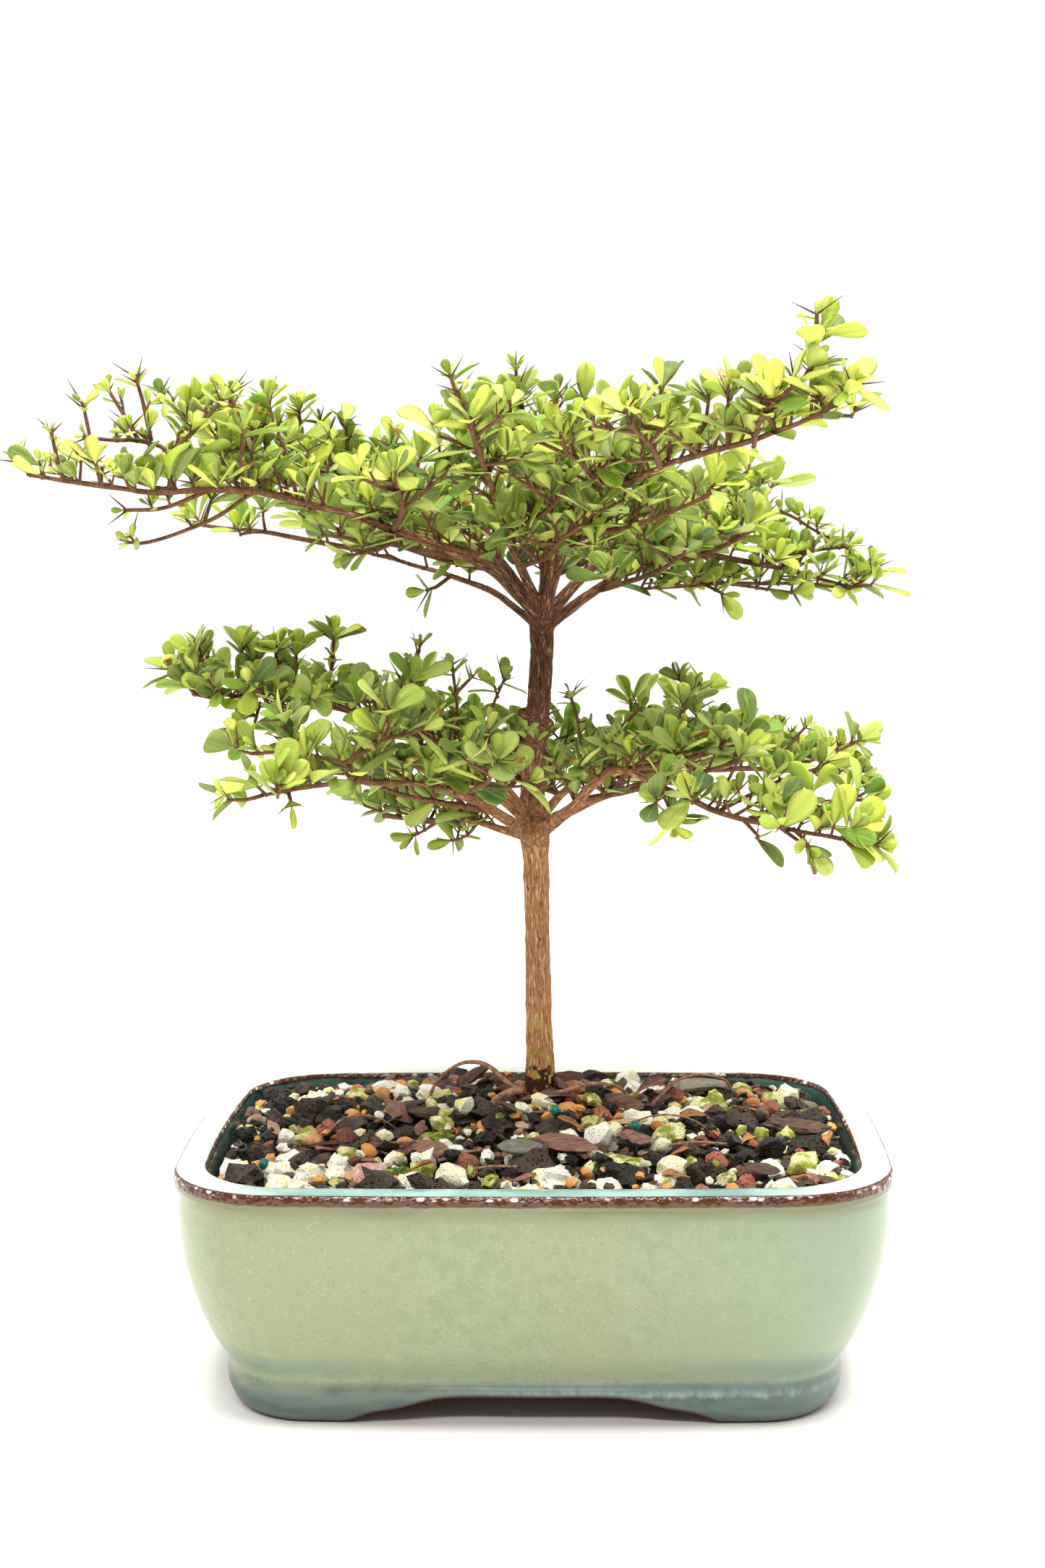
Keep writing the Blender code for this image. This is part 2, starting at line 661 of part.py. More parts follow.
def make_leafy_stems(parts, claimed):
    """Every leafy stem as one piece: twig, spurs, blades and spines fused."""
    routes = stem_routes(claimed)
    spurs = {name: spurs_of(name, route) for name, route in routes.items()}
    owners = {name: number + 1 for number, name in enumerate(routes)}
    for name in routes:
        for foot, top, _ in spurs[name]:
            claimed.add_stem([foot, top], SPUR_RADIUS, owners[name])
    stems = []
    for name, route in routes.items():
        radii = [
            TWIG_RADII[0] + (TWIG_RADII[1] - TWIG_RADII[0]) * number / (len(route) - 1)
            for number in range(len(route))
        ]
        stem = tube(name, route, radii, 0, parts)
        repeats = new_collection(name + "_repeats")
        for number, (foot, top, axis) in enumerate(spurs[name]):
            length = (top - foot).length
            make_cone(f"spur_{number}", foot, axis, length, (SPUR_RADIUS,) * 2, SPUR_SIDES, repeats)
            add_rosette(name, number, owners[name], top, axis, claimed, repeats)
        _, heading = along(route, 1)
        across = heading.cross(UP).normalized()
        foot = route[-1]
        way = (0.4 * heading - 0.5 * UP + across).normalized()
        make_cone("spine", foot - heading * MM, way, SPINE_LENGTH, (SPINE_RADIUS, 0), 3, repeats)
        bpy.context.view_layer.update()
        boolean(stem, "UNION", repeats, "MANIFOLD")
        stems.append(stem)
    return stems


def claim_wood(claimed):
    points = [Vector((x, y, z)) * MM for z, x, y, _ in TRUNK]
    claimed.add_stem(points, 4 * MM, 0)
    for route_points, foot_radius, bare, _ in LIMBS.values():
        route = part_of_route(smooth_route(route_points, LIMB_STEP), 0, bare)
        claimed.add_stem(route, 0.7 * foot_radius * MM, 0)


def main():
    start_clean()
    parts = new_collection("black_olive_bonsai")
    cutters = new_collection("cutters")

    glaze = new_material("celadon_glaze", (0.42, 0.55, 0.38), 0.2)
    plastic = new_material("black_plastic", (0.03, 0.03, 0.03), 0.5)
    grit = new_material("grit", (0.16, 0.1, 0.07), 0.9)
    bark = new_material("bark", (0.27, 0.15, 0.09), 0.85)
    foliage = new_material("foliage", (0.2, 0.4, 0.08), 0.45)

    claimed = Claimed()
    claim_wood(claimed)
    finished = [
        (make_pot(parts, cutters), glaze),
        (make_screen("drain_screen_left", -DRAIN_HOLE_X, parts, cutters), plastic),
        (make_screen("drain_screen_right", DRAIN_HOLE_X, parts, cutters), plastic),
        (make_soil(parts, cutters), grit),
        (make_wood(parts), bark),
    ]
    finished += [(stem, foliage) for stem in make_leafy_stems(parts, claimed)]

    stand = bpy.data.objects.new("bonsai", None)
    parts.objects.link(stand)
    stand.location = (POT_X, POT_Y, 0)
    for piece, finish in finished:
        piece.data.materials.clear()
        piece.data.materials.append(finish)
        piece.parent = stand
    bpy.data.objects["pot"].data.shade_smooth()
    bpy.data.objects["pot"].data.set_sharp_from_angle(angle=math.radians(40))


main()
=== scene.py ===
"""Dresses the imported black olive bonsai: glazed pot, loose grit, bark, leafy stems and light."""

import math
import random

import bmesh
import bpy
import numpy as np
from mathutils import Matrix, Vector, kdtree, noise
from mathutils.geometry import tessellate_polygon


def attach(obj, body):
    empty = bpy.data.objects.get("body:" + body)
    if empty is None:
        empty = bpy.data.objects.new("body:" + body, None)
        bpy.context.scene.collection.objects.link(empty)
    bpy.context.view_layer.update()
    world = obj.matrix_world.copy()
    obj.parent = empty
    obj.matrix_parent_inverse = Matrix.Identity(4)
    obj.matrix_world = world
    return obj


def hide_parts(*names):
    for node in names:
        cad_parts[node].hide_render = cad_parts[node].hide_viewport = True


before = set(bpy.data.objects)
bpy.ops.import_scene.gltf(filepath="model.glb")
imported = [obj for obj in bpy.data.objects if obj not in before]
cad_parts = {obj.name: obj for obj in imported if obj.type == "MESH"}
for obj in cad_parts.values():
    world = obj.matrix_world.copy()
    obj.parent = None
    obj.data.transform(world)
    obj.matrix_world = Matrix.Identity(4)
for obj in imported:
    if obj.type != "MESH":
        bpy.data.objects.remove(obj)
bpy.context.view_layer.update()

# Light, table and camera
# The tree stands on a plain white table with soft light all round it, and is taken from in
# front with a long lens, at the height of the upper leaves. The camera sees plain white past the
# table, while the room's light is weaker from the front. None of this is part of the object.
MM = 0.001
UP = Vector((0, 0, 1))
CAMERA_PLACE = Vector((27.2, -638.3, 239.4)) * MM
CAMERA_YAW = math.radians(-1.36)
CAMERA_PITCH = math.radians(5.86)
CAMERA_ROLL = math.radians(-0.39)
SENSOR = 36
PHOTO_HEIGHT = 2168
FOCAL_PIXELS = 3006.2
TABLE_HALF = 4
ROOM_BRIGHT = (0.31, 0.90)
BACKDROP_BRIGHT = 1.02


class Finish:
    """One material: a surface shader and the pattern nodes that feed it."""

    def __init__(self, name, roughness, **sockets):
        self.material = bpy.data.materials.new(name)
        self.material.use_nodes = True
        self.tree = self.material.node_tree
        self.shader = self.tree.nodes["Principled BSDF"]
        self.shader.inputs["Roughness"].default_value = roughness
        for socket, value in sockets.items():
            self.shader.inputs[socket.replace("_", " ")].default_value = value

    def feed(self, socket, value):
        if isinstance(value, bpy.types.NodeSocket):
            self.tree.links.new(value, socket)
        else:
            socket.default_value = value

    def add(self, kind, inputs, **settings):
        node = self.tree.nodes.new("ShaderNode" + kind)
        for name, value in settings.items():
            setattr(node, name, value)
        for name, value in inputs.items():
            self.feed(node.inputs[name], value)
        return node

    def place(self, stretch=None):
        """Where a point is on the piece, in metres, its axes scaled by stretch."""
        spot = self.add("TexCoord", {}).outputs["Object"]
        if stretch is None:
            return spot
        return self.add("Mapping", {"Vector": spot, "Scale": stretch}).outputs["Vector"]

    def cloud(self, size, detail=3, stretch=None, distortion=0, roughness=0.5, spot=None):
        """Soft patches about size across, from 0 to 1."""
        inputs = {
            "Vector": spot or self.place(stretch),
            "Scale": 1 / size,
            "Detail": detail,
            "Roughness": roughness,
            "Distortion": distortion,
        }
        return self.add("TexNoise", inputs).outputs["Fac"]

    def band(self, value, start, full, ebb, end):
        """1 from full to ebb, 0 before start and past end, and smooth between."""
        return self.times(self.step(value, start, full), self.step(value, end, ebb))

    def cells(self, size, feature="F1", stretch=None):
        """How far each point is from the nearest of many scattered ones."""
        inputs = {"Vector": self.place(stretch), "Scale": 1 / size}
        return self.add("TexVoronoi", inputs, feature=feature).outputs["Distance"]

    def step(self, value, low, high):
        """0 below low, 1 above high, and smooth between."""
        inputs = {"Value": value, "From Min": low, "From Max": high}
        return self.add("MapRange", inputs, interpolation_type="SMOOTHSTEP").outputs["Result"]

    def reckon(self, kind, first, second=0):
        node = self.add("Math", {}, operation=kind)
        self.feed(node.inputs[0], first)
        self.feed(node.inputs[1], second)
        return node.outputs[0]

    def times(self, first, second):
        return self.reckon("MULTIPLY", first, second)

    def plus(self, first, second):
        return self.reckon("ADD", first, second)

    def tint(self, share, first, second, most=1):
        """The first colour where share is 0, and the second, or most of it, where share is 1."""
        if most != 1:
            share = self.times(share, most)
        node = self.add("Mix", {}, data_type="RGBA")
        self.feed(node.inputs[0], share)
        for socket, colour in ((node.inputs[6], first), (node.inputs[7], second)):
            self.feed(socket, (*colour, 1) if isinstance(colour, tuple) else colour)
        return node.outputs[2]

    def mark(self, name):
        """The three parts of a value painted on the mesh."""
        spot = self.add("Attribute", {}, attribute_name=name).outputs["Vector"]
        return self.add("SeparateXYZ", {"Vector": spot}).outputs

    def bump(self, height, depth, under=None):
        inputs = {"Height": height, "Distance": depth, "Strength": 1}
        if under is not None:
            inputs["Normal"] = under
        return self.add("Bump", inputs).outputs["Normal"]

    def finish(self, colour, roughness=None, normal=None):
        self.feed(self.shader.inputs["Base Color"], colour)
        if roughness is not None:
            self.feed(self.shader.inputs["Roughness"], roughness)
        if normal is not None:
            self.feed(self.shader.inputs["Normal"], normal)
        return self.material


def paint(mesh, marks):
    """Values of three parts on each point of a mesh, for its finish to read."""
    for name, values in marks.items():
        layer = mesh.attributes.new(name, "FLOAT_VECTOR", "POINT")
        layer.data.foreach_set("vector", np.asarray(values, np.float32).ravel())


def add_mesh(name, points, faces, finishes, marks=None, finish_of_face=None):
    """A smooth-shaded mesh object from points in metres, with values painted on its points."""
    mesh = bpy.data.meshes.new(name)
    mesh.from_pydata(points, [], faces)
    paint(mesh, marks or {})
    for finish in finishes:
        mesh.materials.append(finish)
    if finish_of_face is not None:
        mesh.polygons.foreach_set("material_index", finish_of_face)
    mesh.shade_smooth()
    made = bpy.data.objects.new(name, mesh)
    bpy.context.scene.collection.objects.link(made)
    return made


def camera_axes():
    forward = Vector((
        math.sin(CAMERA_YAW) * math.cos(CAMERA_PITCH),
        math.cos(CAMERA_YAW) * math.cos(CAMERA_PITCH),
        -math.sin(CAMERA_PITCH),
    ))
    level = Vector((math.cos(CAMERA_YAW), -math.sin(CAMERA_YAW), 0))
    upright = level.cross(forward)
    across = math.cos(CAMERA_ROLL) * level + math.sin(CAMERA_ROLL) * upright
    return across, across.cross(forward), -forward


camera = bpy.data.objects.new("camera", bpy.data.cameras.new("camera"))
bpy.context.scene.collection.objects.link(camera)
bpy.context.scene.camera = camera
camera.matrix_world = Matrix.Translation(CAMERA_PLACE) @ Matrix(camera_axes()).transposed().to_4x4()
camera.data.sensor_width = SENSOR
camera.data.lens = FOCAL_PIXELS * SENSOR / PHOTO_HEIGHT
camera.data.clip_start = 0.01

bpy.context.scene.view_settings.view_transform = "Standard"
world = bpy.data.worlds.new("white_room")
world.use_nodes = True
towards = world.node_tree.nodes.new("ShaderNodeTexCoord")
split = world.node_tree.nodes.new("ShaderNodeSeparateXYZ")
shade = world.node_tree.nodes.new("ShaderNodeMapRange")
world.node_tree.links.new(towards.outputs["Generated"], split.inputs["Vector"])
world.node_tree.links.new(split.outputs["Y"], shade.inputs["Value"])
shade.inputs["From Min"].default_value = -0.7
shade.inputs["From Max"].default_value = 0.6
shade.inputs["To Min"].default_value = ROOM_BRIGHT[0]
shade.inputs["To Max"].default_value = ROOM_BRIGHT[1]
straight = world.node_tree.nodes.new("ShaderNodeLightPath")
seen = world.node_tree.nodes.new("ShaderNodeMix")
world.node_tree.links.new(straight.outputs["Is Camera Ray"], seen.inputs[0])
world.node_tree.links.new(shade.outputs["Result"], seen.inputs[2])
seen.inputs[3].default_value = BACKDROP_BRIGHT
world.node_tree.links.new(seen.outputs[0], world.node_tree.nodes["Background"].inputs["Strength"])
world.node_tree.nodes["Background"].inputs["Color"].default_value = (1, 1, 1, 1)
bpy.context.scene.world = world


def softbox(name, place, target, size, watts):
    lamp = bpy.data.lights.new(name, "AREA")
    lamp.shape = "RECTANGLE"
    lamp.size, lamp.size_y = size
    lamp.energy = watts
    made = bpy.data.objects.new(name, lamp)
    bpy.context.scene.collection.objects.link(made)
    made.location = place
    made.rotation_euler = (Vector(target) - Vector(place)).to_track_quat("-Z", "Y").to_euler()


softbox("front_light", (-0.1, -0.9, 0.9), (0, 0, 0.05), (0.7, 0.11), 7)
softbox("top_light", (0.1, 0.05, 1.2), (0, 0, 0.1), (0.8, 0.8), 9)
softbox("left_light", (-1.1, 0.3, 0.6), (0, 0, 0.15), (0.7, 0.7), 4)
softbox("right_light", (1.1, 0.3, 0.6), (0, 0, 0.15), (0.7, 0.7), 4)
skylight = bpy.data.objects.new("skylight", bpy.data.lights.new("skylight", "SUN"))
skylight.data.energy = 3.7
skylight.data.angle = math.radians(26)
skylight.rotation_euler = (math.radians(9), math.radians(3), 0)
bpy.context.scene.collection.objects.link(skylight)

table_finish = Finish("table_white", 0.6)
table_mottle = table_finish.cloud(60 * MM, 2)
table = add_mesh(
    "table",
    [(x * TABLE_HALF, y * TABLE_HALF, 0) for x, y in ((-1, -1), (1, -1), (1, 1), (-1, 1))],
    [(0, 1, 2, 3)],
    [table_finish.finish(
        table_finish.tint(table_mottle, (0.96, 0.93, 0.88), (0.97, 0.945, 0.90)),
        normal=table_finish.bump(table_finish.cloud(1 * MM), 0.02 * MM),
    )],
)

# The pot
# One piece of pressed stoneware with a bellied wall, a flat lip and a foot at each corner. It is
# dipped in celadon glaze, which breaks to iron brown on the lip's edges and pools blue at the feet.
POT_PLACE = Vector((15, 5, 0)) * MM
POT_LENGTH = 203 * MM
POT_WIDTH = 150 * MM
CORNER_RADIUS = 32 * MM
SMALLEST_RADIUS = 8 * MM
SIDE_BOW = 1.2 * MM
CORNER_STEPS = 14
SIDE_STEPS = (58, 42)
# Height and inset in millimetres, up the outside from the standing face to the lip
POT_OUTSIDE = [
    (0, 17.6), (2.5, 15.4), (7, 13.7), (11, 13.6), (13.5, 14.4), (21, 10), (30, 6.2), (42, 2.7),
    (54, 1.1), (64, 1.2), (66, 0.1),
]
LIP = [(67.5, 0), (68.8, 0.05), (69.5, 0.3), (69.9, 0.75), (70, 1.3), (70.05, 4.5), (70, 7.6)]
POT_INSIDE = [
    (69.8, 8.3), (69.3, 8.7), (68.5, 8.95), (67, 9.1), (60, 9.25), (44, 9.6), (28, 14), (18, 21),
    (14.5, 27),
]
WAIST_Z = 13.5
SKIRT_LEVELS = 9
FOOT_RAIL = 9.4
FLOOR_UNDERSIDE = 9.8
EDGE_ROUND = 0.8
ARCH_HALF = (58, 34)
ARCH_OUTLINE = [(1, 0), (0.97, 0.8), (0.85, 3.6), (0.69, 5.4), (0.53, 7.9), (0.36, 8.8), (0, 8.8)]
DRAIN_HOLE_RADIUS = 8 * MM
DRAIN_HOLE_X = 50 * MM
DRAIN_HOLE_SIDES = 40
HAND_WOBBLE = 0.22


def smooth_route(points, step):
    """Points about a step apart on a smooth curve through the given ones."""
    spots = [Vector(point) for point in points]
    spots = [2 * spots[0] - spots[1], *spots, 2 * spots[-1] - spots[-2]]
    route = []
    for before, start, end, after in zip(spots, spots[1:], spots[2:], spots[3:]):
        pieces = max(1, round((end - start).length / step))
        for piece in range(pieces):
            t = piece / pieces
            route.append(
                0.5 * (
                    2 * start
                    + (end - before) * t
                    + (2 * before - 5 * start + 4 * end - after) * t**2
                    + (3 * start - before - 3 * end + after) * t**3
                )
            )
    route.append(spots[-2])
    return route


def length_of(route):
    return sum((b - a).length for a, b in zip(route, route[1:]))


def ring_faces(levels, count):
    """The quads between each ring of points and the next one up."""
    faces = []
    for level in range(levels - 1):
        low = level * count
        for i in range(count):
            j = (i + 1) % count
            faces.append((low + i, low + j, low + count + j, low + count + i))
    return faces


pot_columns = []
for pot_quarter in range(4):
    for pot_step in range(CORNER_STEPS):
        pot_columns.append((pot_quarter, "corner", pot_step / CORNER_STEPS))
    for pot_step in range(SIDE_STEPS[pot_quarter % 2]):
        pot_columns.append((pot_quarter, "side", pot_step / SIDE_STEPS[pot_quarter % 2]))


def plan_point(column, inset):
    """A point of the pot's outline seen from above, drawn in from the lip."""
    quarter, stretch, share = column
    half_x = POT_LENGTH / 2 - inset
    half_y = POT_WIDTH / 2 - inset
    radius = max(CORNER_RADIUS - 0.6 * inset, SMALLEST_RADIUS)
    turn = math.radians(90 * (quarter + (share if stretch == "corner" else 1)))
    outward = Vector((math.cos(turn), math.sin(turn)))
    centres = [
        Vector(((half_x - radius) * (1, -1, -1, 1)[q % 4], (half_y - radius) * (1, 1, -1, -1)[q % 4]))
        for q in (quarter, quarter + 1)
    ]
    if stretch == "corner":
        return centres[0] + outward * radius
    return centres[0].lerp(centres[1], share) + outward * (radius + SIDE_BOW * (1 - (2 * share - 1) ** 2))


outside_line = smooth_route([(z, inset, 0) for z, inset in POT_OUTSIDE], 1.5)
arch_line = smooth_route([(share * 10, height, 0) for share, height in ARCH_OUTLINE], 0.4)[::-1]


def outside_inset(height):
    return float(np.interp(height, [p.x for p in outside_line], [p.y for p in outside_line]))


def arch_height(column):
    """How high the skirt's lower edge stands in this column: 0 on a foot."""
    spot = plan_point(column, 0)
    on_long_side = abs(spot.y) > 45 * MM
    share = abs(spot.x) / (ARCH_HALF[0] * MM) if on_long_side else abs(spot.y) / (ARCH_HALF[1] * MM)
    height = np.interp(share * 10, [p.x for p in arch_line], [p.y for p in arch_line])
    return float(max(0, height)) if share < 1 else 0.0


def make_pot_rings():
    """Levels of (height, inset, iron, pooled, bare) in each column, from the underside to the floor."""
    rings = []
    arches = [arch_height(column) for column in pot_columns]
    rail = POT_OUTSIDE[0][1] + FOOT_RAIL

    def glaze_depth(z, arch):
        """Thickest in a narrow run just above the lower edge."""
        return max(0, 1 - (z - arch) / 3)

    def edge(lift, drawn_in, bare):
        rings.append([
            (min(a + lift, FLOOR_UNDERSIDE - 0.1), drawn_in(a), 0, glaze_depth(a, a), bare) for a in arches
        ])

    rings.append([(FLOOR_UNDERSIDE, rail + 6, 0, 0, 1)] * len(arches))
    rings.append([(FLOOR_UNDERSIDE, rail, 0, 0, 1)] * len(arches))
    edge(EDGE_ROUND, lambda a: rail, 1)
    edge(0.3 * EDGE_ROUND, lambda a: rail - 0.3 * EDGE_ROUND, 1)
    edge(0, lambda a: rail - EDGE_ROUND, 1)
    edge(0, lambda a: outside_inset(a) + 1.3 * EDGE_ROUND, 1)
    edge(0.15 * EDGE_ROUND, lambda a: outside_inset(a) + 0.6 * EDGE_ROUND, 1)
    edge(0.6 * EDGE_ROUND, lambda a: outside_inset(a) + 0.12 * EDGE_ROUND, 0.8)
    for level in range(SKIRT_LEVELS):
        ring = []
        for a in arches:
            low = a + EDGE_ROUND
            z = low + (WAIST_Z - low) * level / SKIRT_LEVELS
            ring.append((z, outside_inset(z), 0, glaze_depth(z, a), 0.5 if level == 0 else 0))
        rings.append(ring)
    for point in outside_line:
        if point.x >= WAIST_Z:
            iron = min(1, max(0, (point.x - 65.9) / 1.3))
            rings.append([(point.x, point.y, iron, 0, 0)] * len(arches))
    for (z, inset), iron in zip(LIP, (0.9, 1, 1, 0.85, 0.2, 0, 0.1)):
        rings.append([(z, inset, iron, 0, 0)] * len(arches))
    for (z, inset), iron in zip(POT_INSIDE, (0.6, 1, 0.8, 0.25, 0, 0, 0, 0, 0)):
        rings.append([(z, inset, iron, 1, 0)] * len(arches))
    return rings


def make_pot(finish):
    rings = make_pot_rings()
    points = []
    marks = []
    for ring in rings:
        for column, (z, inset, iron, pooled, bare) in zip(pot_columns, ring):
            x, y = plan_point(column, inset * MM)
            soft = HAND_WOBBLE * noise.noise(Vector((x, y, z * MM)) / (34 * MM))
            x, y = plan_point(column, (inset + (soft if 2 < z < 66 else 0)) * MM)
            points.append((x, y, z * MM))
            marks.append((iron, pooled, bare))
    count = len(pot_columns)
    faces = ring_faces(len(rings), count)
    drill_floor(points, marks, faces, (0, (len(rings) - 1) * count), count)
    pot = add_mesh("glazed_pot", points, faces, [finish], {"glaze": marks})
    face_outwards(pot.data)
    pot.data.set_sharp_from_angle(angle=math.radians(48))
    return pot


def drill_floor(points, marks, faces, ring_starts, count):
    """Closes the pot's floor above and below, with two round holes through it."""
    holes = []
    for height in (FLOOR_UNDERSIDE * MM, POT_INSIDE[-1][0] * MM):
        for side in (-1, 1):
            holes.append(range(len(points), len(points) + DRAIN_HOLE_SIDES))
            for step in range(DRAIN_HOLE_SIDES):
                angle = 2 * math.pi * step / DRAIN_HOLE_SIDES
                x = side * DRAIN_HOLE_X + DRAIN_HOLE_RADIUS * math.cos(angle)
                points.append((x, DRAIN_HOLE_RADIUS * math.sin(angle), height))
                marks.append((0, 0, 1))
    for start, pair in zip(ring_starts, (holes[:2], holes[2:])):
        loops = [range(start, start + count), *pair]
        flat = [index for loop in loops for index in loop]
        corners = tessellate_polygon([[Vector(points[index]) for index in loop] for loop in loops])
        faces += [tuple(flat[i] for i in triangle) for triangle in corners]
    for lower, upper in zip(holes[:2], holes[2:]):
        for i in range(DRAIN_HOLE_SIDES):
            j = (i + 1) % DRAIN_HOLE_SIDES
            faces.append((lower[i], lower[j], upper[j], upper[i]))


def face_outwards(mesh):
    work = bmesh.new()
    work.from_mesh(mesh)
    bmesh.ops.recalc_face_normals(work, faces=work.faces)
    work.to_mesh(mesh)
    work.free()


def celadon_glaze():
    """Mottled celadon, iron brown where it is thin and blue where it is thick, over bare clay."""
    glaze = Finish("celadon_glaze", 0.3)
    iron, pooled, bare = glaze.mark("glaze")[:3]
    place = glaze.add("SeparateXYZ", {"Vector": glaze.place()}).outputs
    mottle = glaze.cloud(5 * MM, 6, roughness=0.65)
    patches = glaze.cloud(45 * MM, 3)
    flecks = glaze.cloud(0.9 * MM, 2, roughness=0.7)
    streaks = glaze.cloud(8 * MM, 5, stretch=(0.3, 0.3, 1), distortion=0.5)
    hairs = glaze.cloud(2.6 * MM, 4, stretch=(1, 1, 0.5), roughness=0.6)

    body = glaze.tint(glaze.step(mottle, 0.3, 0.7), (0.209, 0.250, 0.136), (0.252, 0.295, 0.173))
    body = glaze.tint(glaze.step(patches, 0.42, 0.72), body, (0.248, 0.268, 0.154))
    body = glaze.tint(glaze.step(flecks, 0.58, 0.75), body, (0.305, 0.345, 0.218))
    body = glaze.tint(glaze.step(flecks, 0.42, 0.28), body, (0.176, 0.224, 0.122))
    cooler = glaze.step(place["X"], 10 * MM, 90 * MM)
    body = glaze.tint(cooler, body, (0.215, 0.31, 0.22), 0.5)
    out = glaze.reckon("ABSOLUTE", place["X"])
    # Painted highlight: the pot's left and right ends are tinted paler, standing in for the light that
    # wraps round them.
    side = glaze.step(out, 84 * MM, 101.5 * MM)
    body = glaze.tint(side, body, (0.36, 0.42, 0.30), 0.3)

    # The waist and the feet: a grey smear, deep teal on the feet and a milky band above them
    level = glaze.plus(place["Z"], glaze.times(streaks, 6 * MM))
    waist = glaze.band(level, 16.5 * MM, 19.5 * MM, 21 * MM, 26 * MM)
    ends = glaze.plus(glaze.times(glaze.step(out, 35 * MM, 80 * MM), 0.4), 0.2)
    smear = glaze.times(waist, ends)
    body = glaze.tint(smear, body, (0.12, 0.185, 0.145))
    pool = glaze.step(level, 17 * MM, 11.5 * MM)
    deep = glaze.tint(glaze.step(streaks, 0.38, 0.62), (0.046, 0.074, 0.070), (0.092, 0.142, 0.124))
    low_part = glaze.step(place["Z"], 4.5 * MM, 0.8 * MM)
    deep = glaze.tint(low_part, deep, (0.050, 0.070, 0.060), 0.7)
    corner = glaze.step(place["X"], 87 * MM, 92 * MM)
    corner = glaze.times(corner, glaze.step(place["Z"], 2.6 * MM, 5 * MM))
    deep = glaze.tint(corner, deep, (0.26, 0.33, 0.24), 0.8)
    body = glaze.tint(pool, body, deep, 0.92)
    milk_level = glaze.plus(place["Z"], glaze.times(hairs, 4 * MM))
    band = glaze.band(milk_level, 10.4 * MM, 12 * MM, 12.6 * MM, 17.4 * MM)
    band = glaze.times(band, glaze.step(place["X"], -46 * MM, 6 * MM))
    band = glaze.times(band, glaze.step(place["X"], 92 * MM, 70 * MM))
    milk = glaze.tint(glaze.step(hairs, 0.36, 0.66), (0.12, 0.175, 0.175), (0.235, 0.31, 0.28))
    slate = glaze.step(milk_level, 12.4 * MM, 14.6 * MM)
    milk = glaze.tint(slate, milk, (0.098, 0.142, 0.150), 0.8)
    body = glaze.tint(band, body, milk, 0.85)
    hem = glaze.step(pooled, 0.4, 0.85)
    body = glaze.tint(hem, body, (0.050, 0.078, 0.086), 0.8)

    # The lip: an olive sag under it with a band of painted shade below its overhang, iron brown on its
    # edges with a row of painted white glints, turquoise on its front with its ends and back tinted whiter
    # as a painted highlight, teal inside
    sag = glaze.cloud(34 * MM, 3, stretch=(1, 1, 0.02))
    sag = glaze.plus(place["Z"], glaze.times(sag, 8 * MM))
    fade = glaze.step(glaze.cloud(60 * MM, 2, stretch=(1, 1, 0.02)), 0.36, 0.5)
    under_lip = glaze.times(glaze.step(sag, 67.2 * MM, 70 * MM), fade)
    body = glaze.tint(under_lip, body, (0.165, 0.172, 0.078), 0.7)
    # Painted shade: a darker band just under the lip's overhang, all round the pot.
    shade_under_lip = glaze.step(place["Z"], 61.5 * MM, 65.4 * MM)
    body = glaze.tint(shade_under_lip, body, (0.115, 0.112, 0.052), 0.45)
    lip_top = glaze.step(place["Z"], 69.5 * MM, 69.95 * MM)
    mint = glaze.tint(glaze.step(streaks, 0.38, 0.62), (0.18, 0.36, 0.31), (0.38, 0.60, 0.51))
    inner = glaze.step(place["Y"], -68.4 * MM, -67 * MM)
    mint = glaze.tint(inner, mint, (0.09, 0.27, 0.25), 0.6)
    # Painted highlight: the lip's top is tinted near white at its ends and behind its front edge, where
    # strong light washes it out.
    behind = glaze.step(place["Y"], -66 * MM, -56 * MM)
    lit_rim_ends = glaze.reckon("MAXIMUM", glaze.step(out, 62 * MM, 92 * MM), behind)
    mint = glaze.tint(lit_rim_ends, mint, (0.80, 0.84, 0.74))
    body = glaze.tint(lip_top, body, mint)
    wall = glaze.times(glaze.step(pooled, 0.9, 1), glaze.step(place["Z"], 69.4 * MM, 68.6 * MM))
    wall = glaze.times(wall, glaze.step(place["Z"], 30 * MM, 40 * MM))
    teal = glaze.tint(glaze.step(streaks, 0.4, 0.65), (0.06, 0.15, 0.125), (0.16, 0.29, 0.25))
    body = glaze.tint(wall, body, teal)
    ragged = glaze.plus(iron, glaze.times(glaze.cloud(5 * MM, 5), 0.6))
    brown_part = glaze.step(ragged, 0.85, 1.1)
    brown = glaze.tint(glaze.cloud(2 * MM, 3), (0.032, 0.008, 0.003), (0.125, 0.034, 0.013))
    body = glaze.tint(brown_part, body, brown)
    # Painted highlight: a row of white glints along the top of the brown edge, standing in for the front
    # light's reflection.
    painted_glints = glaze.band(place["Z"], 68.5 * MM, 69 * MM, 69.5 * MM, 69.8 * MM)
    painted_glints = glaze.times(painted_glints, glaze.step(glaze.cells(1.9 * MM, stretch=(0.7, 0.7, 1)), 0.5, 0.22))
    painted_glints = glaze.times(painted_glints, glaze.step(glaze.cloud(9 * MM, 2), 0.44, 0.62))
    body = glaze.tint(painted_glints, body, (0.92, 0.86, 0.78))
    clay = glaze.tint(glaze.cloud(1.5 * MM, 5), (0.050, 0.018, 0.009), (0.125, 0.048, 0.024))
    bare_part = glaze.step(glaze.plus(bare, glaze.times(streaks, 0.4)), 0.55, 0.85)
    chipped = glaze.times(glaze.step(place["X"], 80 * MM, 92 * MM), glaze.step(level, 6.4 * MM, 5 * MM))
    bare_part = glaze.reckon("MAXIMUM", bare_part, chipped)
    body = glaze.tint(bare_part, body, clay)

